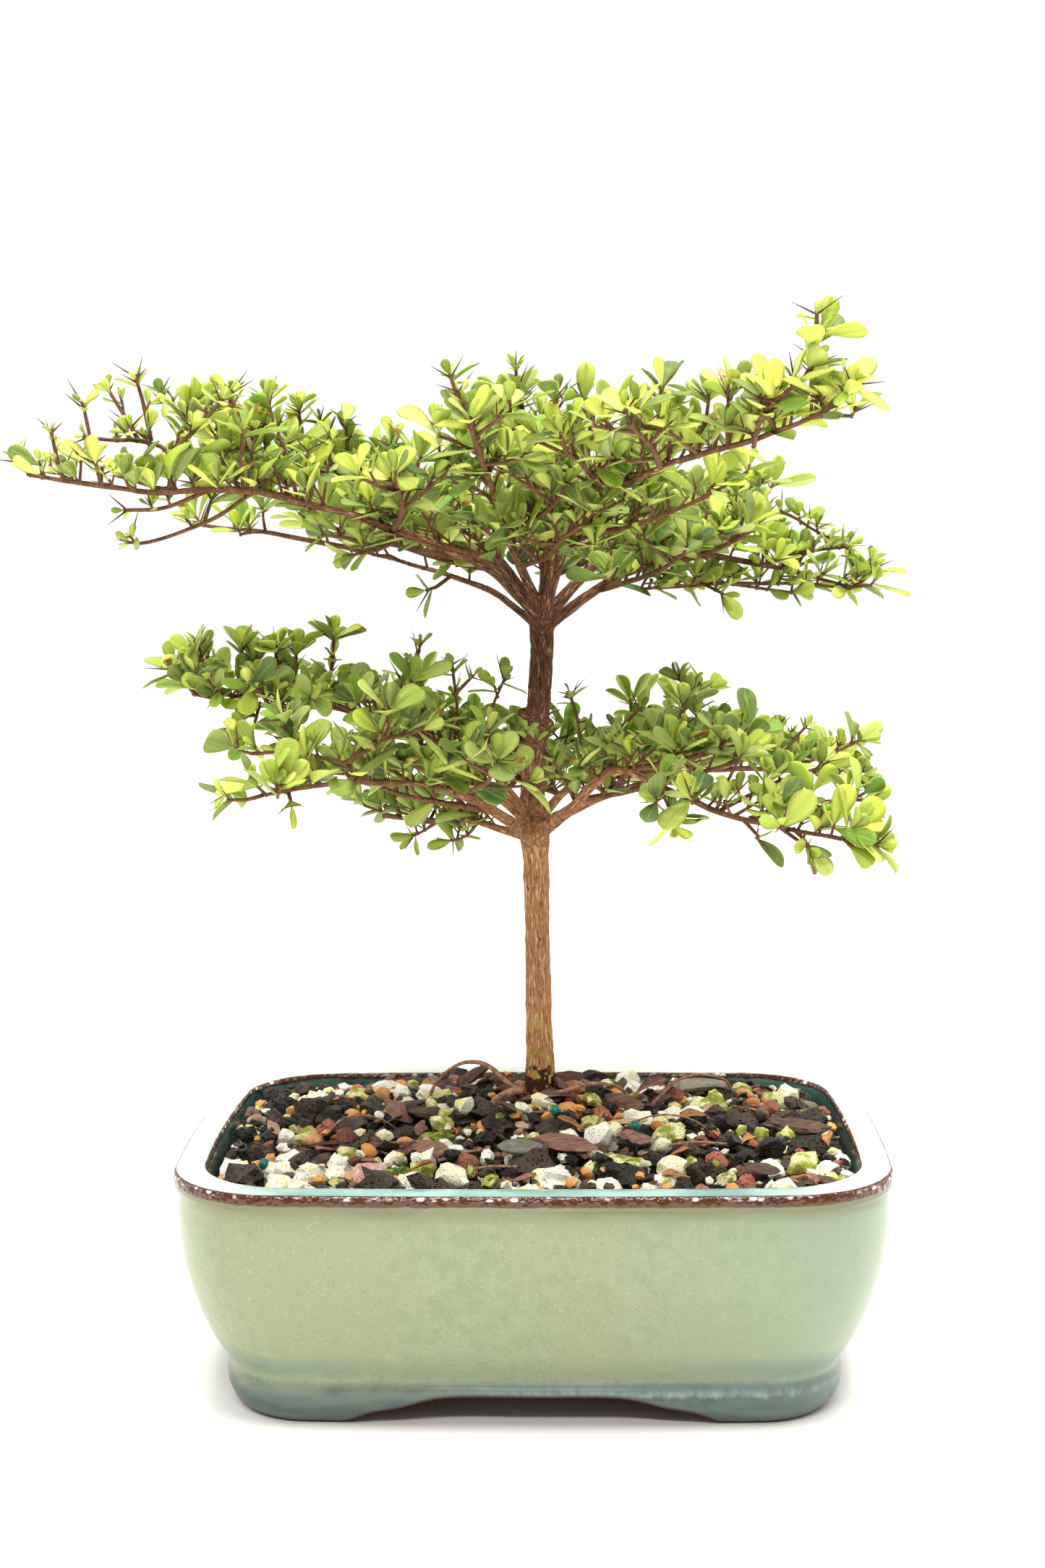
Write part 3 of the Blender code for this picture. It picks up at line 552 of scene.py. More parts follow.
    gloss = glaze.reckon("MAXIMUM", brown_part, glaze.reckon("MAXIMUM", lip_top, wall))
    roughness = glaze.plus(glaze.times(mottle, 0.08), 0.32)
    roughness = glaze.reckon("SUBTRACT", roughness, glaze.times(gloss, 0.24))
    roughness = glaze.plus(roughness, glaze.times(bare_part, 0.55))
    ripple = glaze.bump(glaze.cloud(7 * MM, 2), 0.10 * MM)
    beads = glaze.times(glaze.cells(1.5 * MM, "SMOOTH_F1"), brown_part)
    ripple = glaze.bump(beads, 0.5 * MM, under=ripple)
    pinholes = glaze.bump(glaze.step(flecks, 0.5, 0.75), 0.03 * MM, under=ripple)
    return glaze.finish(body, roughness, pinholes)


pot = make_pot(celadon_glaze())
pot.location = POT_PLACE
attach(pot, "root")
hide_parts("pot")

# The drain screens
# Two squares of moulded black mesh lie on the floor over the drain holes and keep the grit in.
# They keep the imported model's shape, with the dull grain and dust of such plastic.
screen_finish = Finish("black_plastic", 0.5)
screen_dust = screen_finish.step(screen_finish.cloud(3 * MM, 5), 0.45, 0.75)
screen_black = screen_finish.finish(
    screen_finish.tint(screen_dust, (0.018, 0.018, 0.018), (0.09, 0.07, 0.05)),
    screen_finish.plus(screen_finish.times(screen_dust, 0.35), 0.42),
    screen_finish.bump(screen_finish.cloud(0.4 * MM), 0.03 * MM),
)
for screen in ("drain_screen_left", "drain_screen_right"):
    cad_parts[screen].data.materials[0] = screen_black

# The grit
# A loose mix fills the pot: black and red lava, white pumice, some of it green with algae,
# chips of bark, fired clay and small stones, heaped a little round the trunk. Each grain here
# is dropped on those below it, and the ones that end up buried are left out.
SOIL_EDGE_Z = 65.5 * MM
MOUND_Z = 79 * MM
TRUNK_X = 0.5 * MM
TRUNK_Y = 5 * MM
BED_DEPTH = 6 * MM
BED_RINGS = 16
BED_INSET = 9.75
WALL_INSET = 9.9 * MM
INNER_CORNER = CORNER_RADIUS * 0.8
TRUNK_ROOM = 4.6 * MM
DROP_GRID = 0.6 * MM
DROP_TRIES = 9
HIGHEST_GRAIN = 2.2 * MM
STEEPEST = 0.55
GRAIN_COUNT = 2500
BURIED = 3.2 * MM
LUMP_SHAPES = 9
FINE_GRAIN = 2.6 * MM


def soil_level(x, y):
    across = np.hypot((x - TRUNK_X) / (POT_LENGTH / 2), (y - TRUNK_Y) / (POT_WIDTH / 2))
    return SOIL_EDGE_Z + (MOUND_Z - SOIL_EDGE_Z) * np.maximum(0, 1 - across) ** 1.25


# Share of the mix, least and most half length in millimetres, flatness, then how it is shaped:
# planes it is chipped by, how deep they cut and how lumpy it is
GRAIN_KINDS = {
    "black_lava": (0.31, (1.9, 7.0), (0.82, 0.66), 5, 0.36, 0.7),
    "bark_chips": (0.15, (2.4, 7.2), (0.46, 0.15), 6, 0.6, 0.26),
    "white_pumice": (0.20, (1.4, 5.4), (0.84, 0.7), 3, 0.25, 0.5),
    "mossy_pumice": (0.10, (1.5, 5.0), (0.84, 0.7), 3, 0.28, 0.5),
    "red_lava": (0.07, (1.6, 4.6), (0.84, 0.66), 6, 0.36, 0.5),
    "fired_clay": (0.11, (1.1, 3.4), (0.85, 0.7), 8, 0.42, 0.14),
    "grey_stones": (0.03, (1.5, 4.4), (0.78, 0.5), 5, 0.3, 0.14),
    "brown_stones": (0.04, (1.5, 4.8), (0.75, 0.42), 6, 0.45, 0.24),
}
# Pieces that stand out: kind, place, half sizes, turn and tilts in degrees, and how pale. Thick
# ones are bedded a third down, and thin ones lie on top of the rest.
LARGE_STONES = [
    ("pink_stone", (-45.8, -43.5), (7.3, 5.5, 4.8), 15, (6, -8), 0.5),
    ("slate_stone", (-3.3, -43.9), (6.6, 3.8, 1.5), 4, (14, 2), 0.5),
    ("grey_stones", (51, 32.8), (9, 4, 1.7), 8, (10, 0), 0.9),
    ("bark_chips", (78, -9), (10.5, 4, 2), -12, (8, 4), 0.1),
    ("grey_stones", (84, 33), (6, 5, 4.5), 30, (0, 0), 0.3),
    ("white_pumice", (6.6, -51.4), (7, 4.6, 4.2), 10, (0, 8), 0.6),
    ("black_lava", (25, -47), (6.8, 4.8, 4.4), 0, (0, 0), 0.2),
    ("mossy_pumice", (24.8, -40.2), (8.5, 4, 3.4), -14, (10, 0), 0.9),
    ("bark_chips", (28, -31), (7, 4.2, 1.3), -35, (24, 6), 0.8),
    ("white_pumice", (-72, -38), (5.4, 4.2, 3.8), 40, (0, 0), 0.8),
    ("white_pumice", (-63, -40), (5, 4.4, 3.6), 10, (0, 0), 0.5),
    ("white_pumice", (-55, -36), (4.6, 3.6, 3.6), 70, (0, 0), 0.9),
    ("white_pumice", (-70, 38), (6, 5, 4.6), 0, (0, 0), 0.6),
    ("mossy_pumice", (-57, 38), (6, 5, 4.2), 20, (0, 0), 0.4),
    ("black_lava", (-78, 26), (7, 6, 6), 0, (0, 0), 0.1),
    ("black_lava", (-70, 12), (6.4, 5, 6.4), 50, (0, 0), 0.6),
    ("black_lava", (-55, 20), (6.6, 5.6, 5), 20, (0, 0), 0.3),
    ("black_lava", (-10, -18), (6.4, 5, 4), 20, (0, 0), 0.4),
    ("black_lava", (60, -34), (6.4, 5, 4.6), 80, (0, 0), 0.2),
    ("bark_chips", (-21, 25), (7, 3, 1.3), 10, (30, -38), 0.1),
    ("bark_chips", (-15, 20), (5.5, 2.6, 1.2), -20, (-30, -25), 0.2),
    ("bark_chips", (-8, -14), (8, 3.2, 1), 66, (30, 20), 0.6),
    ("bark_chips", (-40, -8), (6.5, 4.4, 1), 60, (40, 10), 0.85),
    ("bark_chips", (9, -37), (9.5, 3.4, 0.9), -18, (22, 4), 0.7),
    ("bark_chips", (-28, -38), (7, 3.4, 1), -28, (26, 0), 0.75),
    ("bark_chips", (62, -50), (7.5, 4, 1.6), 20, (12, 0), 0.55),
    ("bark_chips", (9, 12), (5.6, 3, 1.2), 24, (55, -8), 0.08),
    ("bark_chips", (8, 4), (4.6, 2.6, 1.3), 75, (48, 10), 0.05),
    ("bark_chips", (-9, 12), (5.4, 3, 1.1), -38, (50, 18), 0.12),
    ("bark_chips", (-8, 1), (4.6, 3, 1.4), 50, (30, 24), 0.1),
    ("black_lava", (-14, 8), (4.4, 3.6, 3.4), 10, (0, 0), 0.1),
    ("white_pumice", (-4, -28), (3.4, 3, 3), 0, (0, 0), 0.8),
    ("white_pumice", (36, -52), (4, 3.4, 3.4), 0, (0, 0), 0.9),
    ("white_pumice", (84, -36), (4.6, 4, 3.8), 0, (0, 0), 0.9),
    ("white_pumice", (36, 34), (5, 4.4, 4.6), 0, (0, 0), 0.7),
    ("fired_clay", (10, -6), (4.4, 3.6, 3.2), 20, (0, 0), 0.6),
    ("fired_clay", (14, 4), (3, 2.4, 2.4), 60, (0, 0), 0.8),
    ("fired_clay", (-15, -16), (3.4, 2.8, 2.6), 60, (0, 0), 0.7),
    ("red_lava", (76, -48), (6.5, 4.4, 3.2), 20, (0, 0), 0.7),
    ("red_lava", (-62, -4), (4.4, 4, 3.4), 20, (0, 0), 0.7),
    ("moss_tuft", (-27, -24), (6.4, 5, 3.4), 0, (0, 0), 0.5),
    ("moss_tuft", (-38, -47), (4, 3.4, 3), 0, (0, 0), 0.3),
    ("moss_tuft", (60, 14), (5, 3.4, 2.6), 0, (0, 0), 0.6),
    ("fertiliser_beads", (-76.5, -39.8), (1.8, 1.8, 1.75), 0, (0, 0), 0.3),
    ("fertiliser_beads", (6.3, -13.6), (1.8, 1.8, 1.75), 0, (0, 0), 0.7),
    ("fertiliser_beads", (29.6, -21.7), (1.8, 1.8, 1.75), 0, (0, 0), 0.5),
]
THIN_STONE = 2.2
# Planes, depth of cut and lumpiness of the kinds that the mix has only a few of
LARGE_SHAPES = {
    "pink_stone": (8, 0.3, 0.24),
    "slate_stone": (4, 0.2, 0.08),
    "moss_tuft": (1, 0.1, 0.55),
    "fertiliser_beads": (1, 0.04, 0.05),
}


def ball_of(subdivisions):
    ball = bmesh.new()
    bmesh.ops.create_icosphere(ball, subdivisions=subdivisions, radius=1)
    points = np.array([vert.co[:] for vert in ball.verts])
    faces = np.array([[vert.index for vert in face.verts] for face in ball.faces])
    ball.free()
    return points, faces


def lump(seed, subdivisions, cuts, deepest, lumpiness):
    """A grain of about unit radius: a ball chipped by planes and roughened."""
    draw = random.Random(seed)
    points, faces = ball_of(subdivisions)
    for _ in range(cuts):
        normal = np.array([draw.gauss(0, 1) for _ in range(3)])
        normal /= np.linalg.norm(normal)
        over = points @ normal - (1 - draw.uniform(0.1, 1) * deepest)
        points -= np.outer(np.maximum(0, over), normal)
    shift = Vector([draw.uniform(0, 90) for _ in range(3)])
    for point in points:
        spot = Vector(point)
        rough = 0.8 * noise.noise(spot * 1.7 + shift) + 0.6 * noise.noise(spot * 3.9 + shift)
        rough += (0.25 + 0.6 * lumpiness) * noise.noise(spot * 8 + shift)
        point *= 1 + lumpiness * rough
    return points, faces


class Heap:
    """The heap's height on a fine grid: every grain comes to rest on what lies under it."""

    def __init__(self):
        self.xs = np.arange(-96 * MM, 96 * MM, DROP_GRID)
        self.ys = np.arange(-70 * MM, 70 * MM, DROP_GRID)
        x, y = np.meshgrid(self.xs, self.ys, indexing="ij")
        self.top = soil_level(x, y) - BED_DEPTH
        inner_x = POT_LENGTH / 2 - WALL_INSET - INNER_CORNER
        inner_y = POT_WIDTH / 2 - WALL_INSET - INNER_CORNER
        corner = np.hypot(np.maximum(0, abs(x) - inner_x), np.maximum(0, abs(y) - inner_y))
        self.top[corner > INNER_CORNER] = 1
        self.top[np.hypot(x - TRUNK_X, y - TRUNK_Y) < TRUNK_ROOM] = 1

    def under(self, x, y, size, turn):
        """The grid window below a grain, and how thick the grain is over each of its cells."""
        long, wide, thick = size
        i = int((x - long - self.xs[0]) / DROP_GRID)
        j = int((y - long - self.ys[0]) / DROP_GRID)
        reach = int(2 * long / DROP_GRID) + 2
        window = (slice(max(0, i), i + reach), slice(max(0, j), j + reach))
        dx = (self.xs[window[0]] - x)[:, None]
        dy = (self.ys[window[1]] - y)[None, :]
        along = (dx * math.cos(turn) + dy * math.sin(turn)) / long
        across = (dy * math.cos(turn) - dx * math.sin(turn)) / wide
        inside = 1 - along**2 - across**2
        return window, np.where(inside > 0, np.sqrt(np.maximum(inside, 0)) * thick, -1)

    def rest(self, x, y, size, turn):
        window, half = self.under(x, y, size, turn)
        ground = self.top[window]
        return float(np.max(np.where(half >= 0, ground + 0.8 * half, -1)))

    def lay(self, x, y, z, size, turn):
        window, half = self.under(x, y, size, turn)
        ground = self.top[window]
        self.top[window] = np.where(half >= 0, np.maximum(ground, z + 0.85 * half), ground)

    def height_at(self, x, y):
        i = int(round((x - self.xs[0]) / DROP_GRID))
        j = int(round((y - self.ys[0]) / DROP_GRID))
        return float(self.top[i, j])


def drop_grains(heap):
    """Kind, place, half sizes, turn and draw of each grain, lowest gaps filled first."""
    draw = random.Random(11)
    kinds = list(GRAIN_KINDS)
    shares = [GRAIN_KINDS[kind][0] for kind in kinds]
    laid = []
    for number in range(GRAIN_COUNT):
        kind = draw.choices(kinds, shares)[0]
        _, (least, most), (wide, thick), *_ = GRAIN_KINDS[kind]
        long = (least + (most - least) * draw.random() ** 2.1) * MM
        size = (long, long * wide * draw.uniform(0.85, 1.15), long * thick * draw.uniform(0.8, 1.2))
        best = None
        for _ in range(DROP_TRIES):
            x = draw.uniform(-92, 92) * MM
            y = draw.uniform(-65, 65) * MM
            turn = draw.uniform(0, math.pi)
            z = heap.rest(x, y, size, turn)
            over = z - soil_level(x, y)
            if best is None or over < best[0]:
                best = (over, x, y, z, turn)
        over, x, y, z, turn = best
        if over < HIGHEST_GRAIN:
            heap.lay(x, y, z, size, turn)
            laid.append((kind, Vector((x, y, z)), size, turn, number))
    return laid


def place_lump(shape, place, size, turn, tilt):
    """A lump's points, stretched to size, tilted, turned and moved to its place."""
    spin = Matrix.Rotation(turn, 3, "Z") @ Matrix.Rotation(tilt[0], 3, "X")
    spin = spin @ Matrix.Rotation(tilt[1], 3, "Y")
    return (shape * np.array(size)) @ np.array(spin).T + np.array(place)


def rough_stone(name, dark, light, blotch, blotch_share, pore, pore_depth, roughness=0.9):
    """Mottled stone: two tones, blotches of a third colour, a tone of its own for each grain, and pores
    bumped in and painted dark as shade in their pits.
    """
    pore *= MM
    pore_depth *= MM
    stone = Finish(name, roughness)
    tone = stone.mark("tone")["X"]
    grain = stone.cloud(1.6 * MM, 6, roughness=0.7)
    paleness = stone.plus(grain, stone.times(tone, 0.7))
    colour = stone.tint(stone.step(paleness, 0.4, 1.25), dark, light)
    patch = stone.cloud(4 * MM, 5)
    edge = 1 - blotch_share
    colour = stone.tint(stone.step(patch, edge - 0.1, edge + 0.06), colour, blotch)
    holes = stone.cells(pore)
    # Painted shade: each pore is darkened, as if shade filled the pit.
    colour = stone.tint(stone.step(holes, 0.34, 0.08), colour, tuple(0.35 * c for c in dark))
    rough = stone.bump(stone.cloud(pore * 0.8, 4, roughness=0.75), 0.5 * pore_depth)
    return stone.finish(colour, None, stone.bump(stone.step(holes, 0.05, 0.42), pore_depth, under=rough))


def bark_chip_finish():
    chip = Finish("bark_chip", 0.75)
    tone = chip.mark("tone")["X"]
    fibre = chip.cloud(1.2 * MM, 5, stretch=(0.3, 1.6, 1), roughness=0.7)
    colour = chip.tint(chip.step(fibre, 0.35, 0.7), (0.030, 0.014, 0.008), (0.17, 0.08, 0.04))
    pale = chip.tint(chip.step(fibre, 0.3, 0.7), (0.13, 0.052, 0.034), (0.38, 0.19, 0.13))
    colour = chip.tint(chip.step(tone, 0.55, 0.75), colour, pale)
    straw = chip.tint(fibre, (0.34, 0.20, 0.09), (0.72, 0.52, 0.30))
    colour = chip.tint(chip.step(tone, 0.9, 0.95), colour, straw)
    return chip.finish(colour, None, chip.bump(fibre, 0.3 * MM))


# Finish's name, dark and light tone, blotches and their share, then the pores' size and depth in
# millimetres, and the roughness where it isn't 0.9
STONES = {
    "black_lava": (
        "black_lava", (0.005, 0.004, 0.003), (0.075, 0.044, 0.027),
        (0.13, 0.075, 0.024), 0.34, 1.1, 1.4, 0.6,
    ),
    "white_pumice": (
        "white_pumice", (0.90, 0.84, 0.60), (0.99, 0.97, 0.88),
        (0.88, 0.78, 0.30), 0.38, 0.7, 0.2,
    ),
    "mossy_pumice": (
        "mossy_pumice", (0.62, 0.57, 0.18), (0.95, 0.90, 0.52),
        (0.30, 0.33, 0.025), 0.46, 0.6, 0.25,
    ),
    "red_lava": (
        "red_lava", (0.14, 0.035, 0.02), (0.46, 0.15, 0.085),
        (0.32, 0.16, 0.09), 0.42, 0.8, 0.4,
    ),
    "fired_clay": (
        "fired_clay", (0.52, 0.17, 0.03), (0.88, 0.40, 0.10),
        (0.70, 0.38, 0.16), 0.42, 0.5, 0.06, 0.7,
    ),
    "grey_stones": (
        "grey_stone", (0.09, 0.072, 0.052), (0.32, 0.28, 0.21),
        (0.18, 0.17, 0.08), 0.44, 0.5, 0.08, 0.6,
    ),
    "brown_stones": (
        "brown_stone", (0.19, 0.075, 0.04), (0.48, 0.25, 0.15),
        (0.58, 0.38, 0.24), 0.44, 0.5, 0.08, 0.7,
    ),
    "pink_stone": (
        "pink_stone", (0.46, 0.16, 0.12), (0.78, 0.46, 0.38),
        (0.80, 0.66, 0.56), 0.4, 0.7, 0.12, 0.6,
    ),
    "slate_stone": (
        "slate_stone", (0.09, 0.085, 0.06), (0.20, 0.19, 0.14),
        (0.26, 0.25, 0.18), 0.38, 0.5, 0.04, 0.45,
    ),
    "moss_tuft": (
        "moss_tuft", (0.045, 0.06, 0.006), (0.22, 0.26, 0.025),
        (0.36, 0.40, 0.04), 0.46, 0.45, 0.5,
    ),
    "fertiliser_beads": (
        "fertiliser_bead", (0.004, 0.11, 0.08), (0.01, 0.20, 0.14),
        (0.03, 0.26, 0.20), 0.36, 0.5, 0.03, 0.3,
    ),
}
STONE_FINISHES = {kind: rough_stone(*values) for kind, values in STONES.items()}
STONE_FINISHES["bark_chips"] = bark_chip_finish()


def make_bed():
    """The fines under the loose grains: a solid that fills the pot, its top rough and low."""
    rings = [(15.9, 27.3), (18, 21.45), (28, 14.45), (44, 10.05), (58, BED_INSET)]
    points = []
    for z, inset in rings:
        for column in pot_columns:
            x, y = plan_point(column, inset * MM)
            points.append((x, y, z * MM))
    outer = [plan_point(column, BED_INSET * MM) for column in pot_columns]
    middle = Vector((TRUNK_X, TRUNK_Y))
    for ring in range(BED_RINGS):
        for spot in outer:
            x, y = spot.lerp(middle, ring / BED_RINGS)
            flat = Vector((x, y, 0))
            rough = noise.noise(flat / (3.5 * MM)) + noise.noise(flat / (1.4 * MM))
            points.append((x, y, soil_level(x, y) - BED_DEPTH + 1.6 * MM + 0.6 * MM * rough))
    count = len(pot_columns)
    levels = len(rings) + BED_RINGS
    faces = [tuple(range(count))[::-1], *ring_faces(levels, count)]
    faces.append(tuple(range((levels - 1) * count, levels * count)))
    fines = rough_stone(
        "fines", (0.012, 0.009, 0.007), (0.07, 0.045, 0.03), (0.10, 0.07, 0.03), 0.42, 0.9, 0.5
    )
    tones = np.zeros((len(points), 3))
    return add_mesh("soil_bed", points, faces, [fines], {"tone": tones})


def add_lumps(name, lumps, finish):
    """Many lumps as one piece; each has its own tone."""
    points = []
    faces = []
    tones = []
    for spots, triangles, tone in lumps:
        faces.append(triangles + sum(len(p) for p in points))
        points.append(spots)
        tones.append(np.tile((tone, 0, 0), (len(spots), 1)))
    piece = add_mesh(name, np.vstack(points), np.vstack(faces), [finish], {"tone": np.vstack(tones)})
    piece.data.set_sharp_from_angle(angle=math.radians(42))
    piece.location = POT_PLACE
    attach(piece, "root")


bed = make_bed()
bed.location = POT_PLACE
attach(bed, "root")
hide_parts("soil")


def bed_large_stones(heap, thin):
    """Lumps of the stones that stand out, by kind: the thick ones first, the thin ones last."""
    laid = {}
    for number, (kind, (x, y), size, turn, tilts, pale) in enumerate(LARGE_STONES):
        if (size[2] < THIN_STONE) != thin:
            continue
        x *= MM
        y *= MM
        size = tuple(half * MM for half in size)
        turn = math.radians(turn)
        tilts = [math.radians(tilt) for tilt in tilts]
        z = heap.rest(x, y, size, turn) if thin else soil_level(x, y)
        z -= 0.3 * size[2]
        heap.lay(x, y, z, size, turn)
        cuts, deepest, lumpiness = LARGE_SHAPES.get(kind) or GRAIN_KINDS[kind][3:]
        fineness = 3 if size[0] > FINE_GRAIN else 2
        shape, triangles = lump(f"large {number}", fineness, cuts, deepest, lumpiness)
        spots = place_lump(shape, Vector((x, y, z)), size, turn, tilts)
        laid.setdefault(kind, []).append((spots, triangles, pale))
    return laid


heap = Heap()
thick_stones = bed_large_stones(heap, False)
grains = drop_grains(heap)
thin_stones = bed_large_stones(heap, True)
for kind in LARGE_SHAPES:
    add_lumps("grit_" + kind, thick_stones.get(kind, []) + thin_stones.get(kind, []), STONE_FINISHES[kind])
for kind, (_, _, _, cuts, deepest, lumpiness) in GRAIN_KINDS.items():
    coarse = [lump(f"{kind} coarse {i}", 2, cuts, deepest, lumpiness) for i in range(LUMP_SHAPES)]
    fine = [lump(f"{kind} fine {i}", 1, cuts // 2, deepest, lumpiness) for i in range(LUMP_SHAPES)]
    shown = thick_stones.get(kind, []) + thin_stones.get(kind, [])
    for grain_kind, place, size, turn, number in grains:
        if grain_kind != kind:
            continue
        if place.z + size[2] < heap.height_at(place.x, place.y) - BURIED:
            continue
        draw = random.Random(f"grain {number}")
        shape, triangles = draw.choice(fine if size[0] < FINE_GRAIN else coarse)
        tilt = (draw.uniform(-STEEPEST, STEEPEST), draw.uniform(-STEEPEST, STEEPEST))
        shown.append((place_lump(shape, place, size, turn, tilt), triangles, draw.random()))
    add_lumps("grit_" + kind, shown, STONE_FINISHES[kind])

# The trunk and its limbs
# One growth of wood: a straight trunk, tan and finely fissured below the first crotch and dark
# above it, with limbs that leave it in two whorls. Its foot goes down into the grit.
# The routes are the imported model's, in millimetres, with the trunk's waist drawn in a little.
TRUNK = [
    (42.4, 0.5, 5, 4.5), (79, 1.3, 5, 4.8), (88, 1.6, 5, 4.3), (100, 1.3, 5, 4.0),
    (128, 1.0, 5, 3.7), (150, 0.7, 5, 3.95), (160, 0.2, 5, 4.7), (165, -0.2, 5, 3.9), (178, 0.2, 5, 3.6),
    (194, 1.6, 5, 3.5), (212, 2.8, 5, 3.4), (221, 2.8, 5, 3.7), (228, 3, 5, 2.9),
]
# Route, radius at the trunk, share of the route that is bare limb, and number of side stems
LIMBS = {
    "low_front_left": (
        [(0, 4, 157), (-9, -12, 165), (-24, -38, 176), (-44, -66, 181), (-68, -88, 180)],
        2.5, 0.62, 2,
    ),
    "low_left": (
        [(0, 5, 160), (-13, 3, 172), (-41, -4, 194), (-76, -15, 198), (-97, -24, 202)],
        2.2, 0.6, 2,
    ),
    "low_back_left": ([(0, 5, 162), (-14, 28, 175), (-31, 58, 185), (-44, 88, 192)], 2.0, 0.55, 1),
    "low_under_left": ([(0, 5, 156), (-18, 18, 160), (-34, 37, 158), (-50, 58, 157)], 1.8, 0.55, 0),
    "low_front_right": (
        [(1, 4, 157), (12, -14, 168), (25, -40, 181), (50, -71, 173), (81, -90, 168)],
        2.6, 0.64, 2,
    ),
    "low_right": ([(1, 5, 160), (25, 8, 170), (54, 7, 177), (89, 0, 176)], 2.2, 0.6, 2),
    "low_back_right": ([(1, 6, 162), (12, 30, 170), (32, 60, 178), (50, 90, 190)], 2.0, 0.55, 1),
    "up_left": (
        [(3, 4, 222), (-10, -8, 236), (-39, -38, 249), (-71, -64, 258), (-100, -78, 258), (-126, -90, 262)],
        2.6, 0.6, 3,
    ),
    "up_left_low": (
        [(3, 5, 219), (-10, 16, 229), (-36, 34, 238), (-74, 42, 247), (-104, 40, 251)],
        1.9, 0.58, 0,
    ),
    "up_left_top": (
        [(3, 5, 223), (-12, 10, 242), (-40, 6, 258), (-70, 0, 269), (-94, -10, 278)],
        2.0, 0.58, 1,
    ),
    "up_back_left": ([(3, 6, 223), (-13, 30, 241), (-36, 66, 258), (-60, 98, 272)], 2.2, 0.58, 2),
    "up_back": ([(3, 6, 222), (3, 38, 243), (0, 72, 260), (-4, 104, 274)], 2.2, 0.58, 1),
    "up_back_right": ([(3, 6, 221), (20, 30, 239), (46, 62, 254), (78, 90, 262)], 2.6, 0.58, 2),
    "up_right": ([(3, 5, 219), (26, 5, 235), (58, 14, 240), (96, 28, 231)], 2.2, 0.58, 2),
    "up_front_right": (
        [(3, 4, 222), (13, -28, 250), (34, -70, 263), (58, -98, 269), (76, -116, 276)],
        2.4, 0.66, 3,
    ),
    "up_front": ([(3, 4, 224), (-6, -26, 246), (-10, -60, 261), (-13, -96, 272)], 2.1, 0.6, 2),
    "up_top": ([(3, 5, 224), (5, 5, 246), (1, 0, 266), (-3, -2, 284)], 1.8, 0.5, 0),
}
LIMB_END_RADIUS = 0.95 * MM
LIMB_STEP = 20 * MM
FINE_STEP = 2.2 * MM
LIMB_FLARE = 0.1
LIMB_SLIM = 0.87
FLARE_REACH = 3.5 * MM
WANDER = 0.55 * MM
SKIN_CELL = 0.62 * MM
GRAIN_DRAW = 0.13
# Height, turn in degrees, length and radius of each pruned stub
STUBS = [
    (192, 185, 6.5, 1.5), (189, -10, 5.8, 1.3), (158, -70, 6.2, 2.0), (161, 140, 6, 1.8),
    (171, 20, 5, 1.2),
]


def along(route, share):
    """The point and the direction of a route at a share of its length."""
    lengths = [(b - a).length for a, b in zip(route, route[1:])]
    left = share * sum(lengths)
    for (a, b), length in zip(zip(route, route[1:]), lengths):
        if left <= length:
            return a.lerp(b, left / length), (b - a).normalized()
        left -= length
    return route[-1].copy(), (route[-1] - route[-2]).normalized()


def part_of_route(route, first, last):
    """The stretch of a route between two shares of its length, with its own inner points."""
    total = length_of(route)
    inner = []
    gone = 0.0
    for a, b in zip(route, route[1:]):
        gone += (b - a).length
        if first + 0.02 < gone / total < last - 0.02:
            inner.append(b)
    return [along(route, first)[0], *inner, along(route, last)[0]]


def shares_of(route):
    gone = [0.0]
    for a, b in zip(route, route[1:]):
        gone.append(gone[-1] + (b - a).length)
    return [length / gone[-1] for length in gone]


def limb_radius(foot_radius, share):
    return foot_radius * MM + (LIMB_END_RADIUS - foot_radius * MM) * min(1.0, share) ** 0.8


def in_metres(spots):
    return [Vector(spot) * MM for spot in spots]


def limb_route(name):
    return smooth_route(in_metres(LIMBS[name][0]), LIMB_STEP)


# Without a seed of its own, the vector noise below would bend the wood anew at each run
noise.seed_set(5)


def wandered(point):
    """Where the wood really runs: no stem is quite straight."""
    return point + noise.noise_vector(point / (13 * MM)) * WANDER


def tube(points, radii, sides):
    """Points and faces of a round stem that follows the route, closed at both ends."""
    ways = [(b - a).normalized() for a, b in zip(points, points[1:])]
    ways = [ways[0]] + [(a + b).normalized() for a, b in zip(ways, ways[1:])] + [ways[-1]]
    side = ways[0].orthogonal().normalized()
    ring_points = []
    for point, way, radius in zip(points, ways, radii):
        side = (side - way * side.dot(way)).normalized()
        across = way.cross(side)
        for step in range(sides):
            angle = 2 * math.pi * step / sides
            ring_points.append(point + (side * math.cos(angle) + across * math.sin(angle)) * radius)
    faces = [tuple(range(sides))[::-1], *ring_faces(len(points), sides)]
    faces.append(tuple(range((len(points) - 1) * sides, len(points) * sides)))
    return ring_points, faces


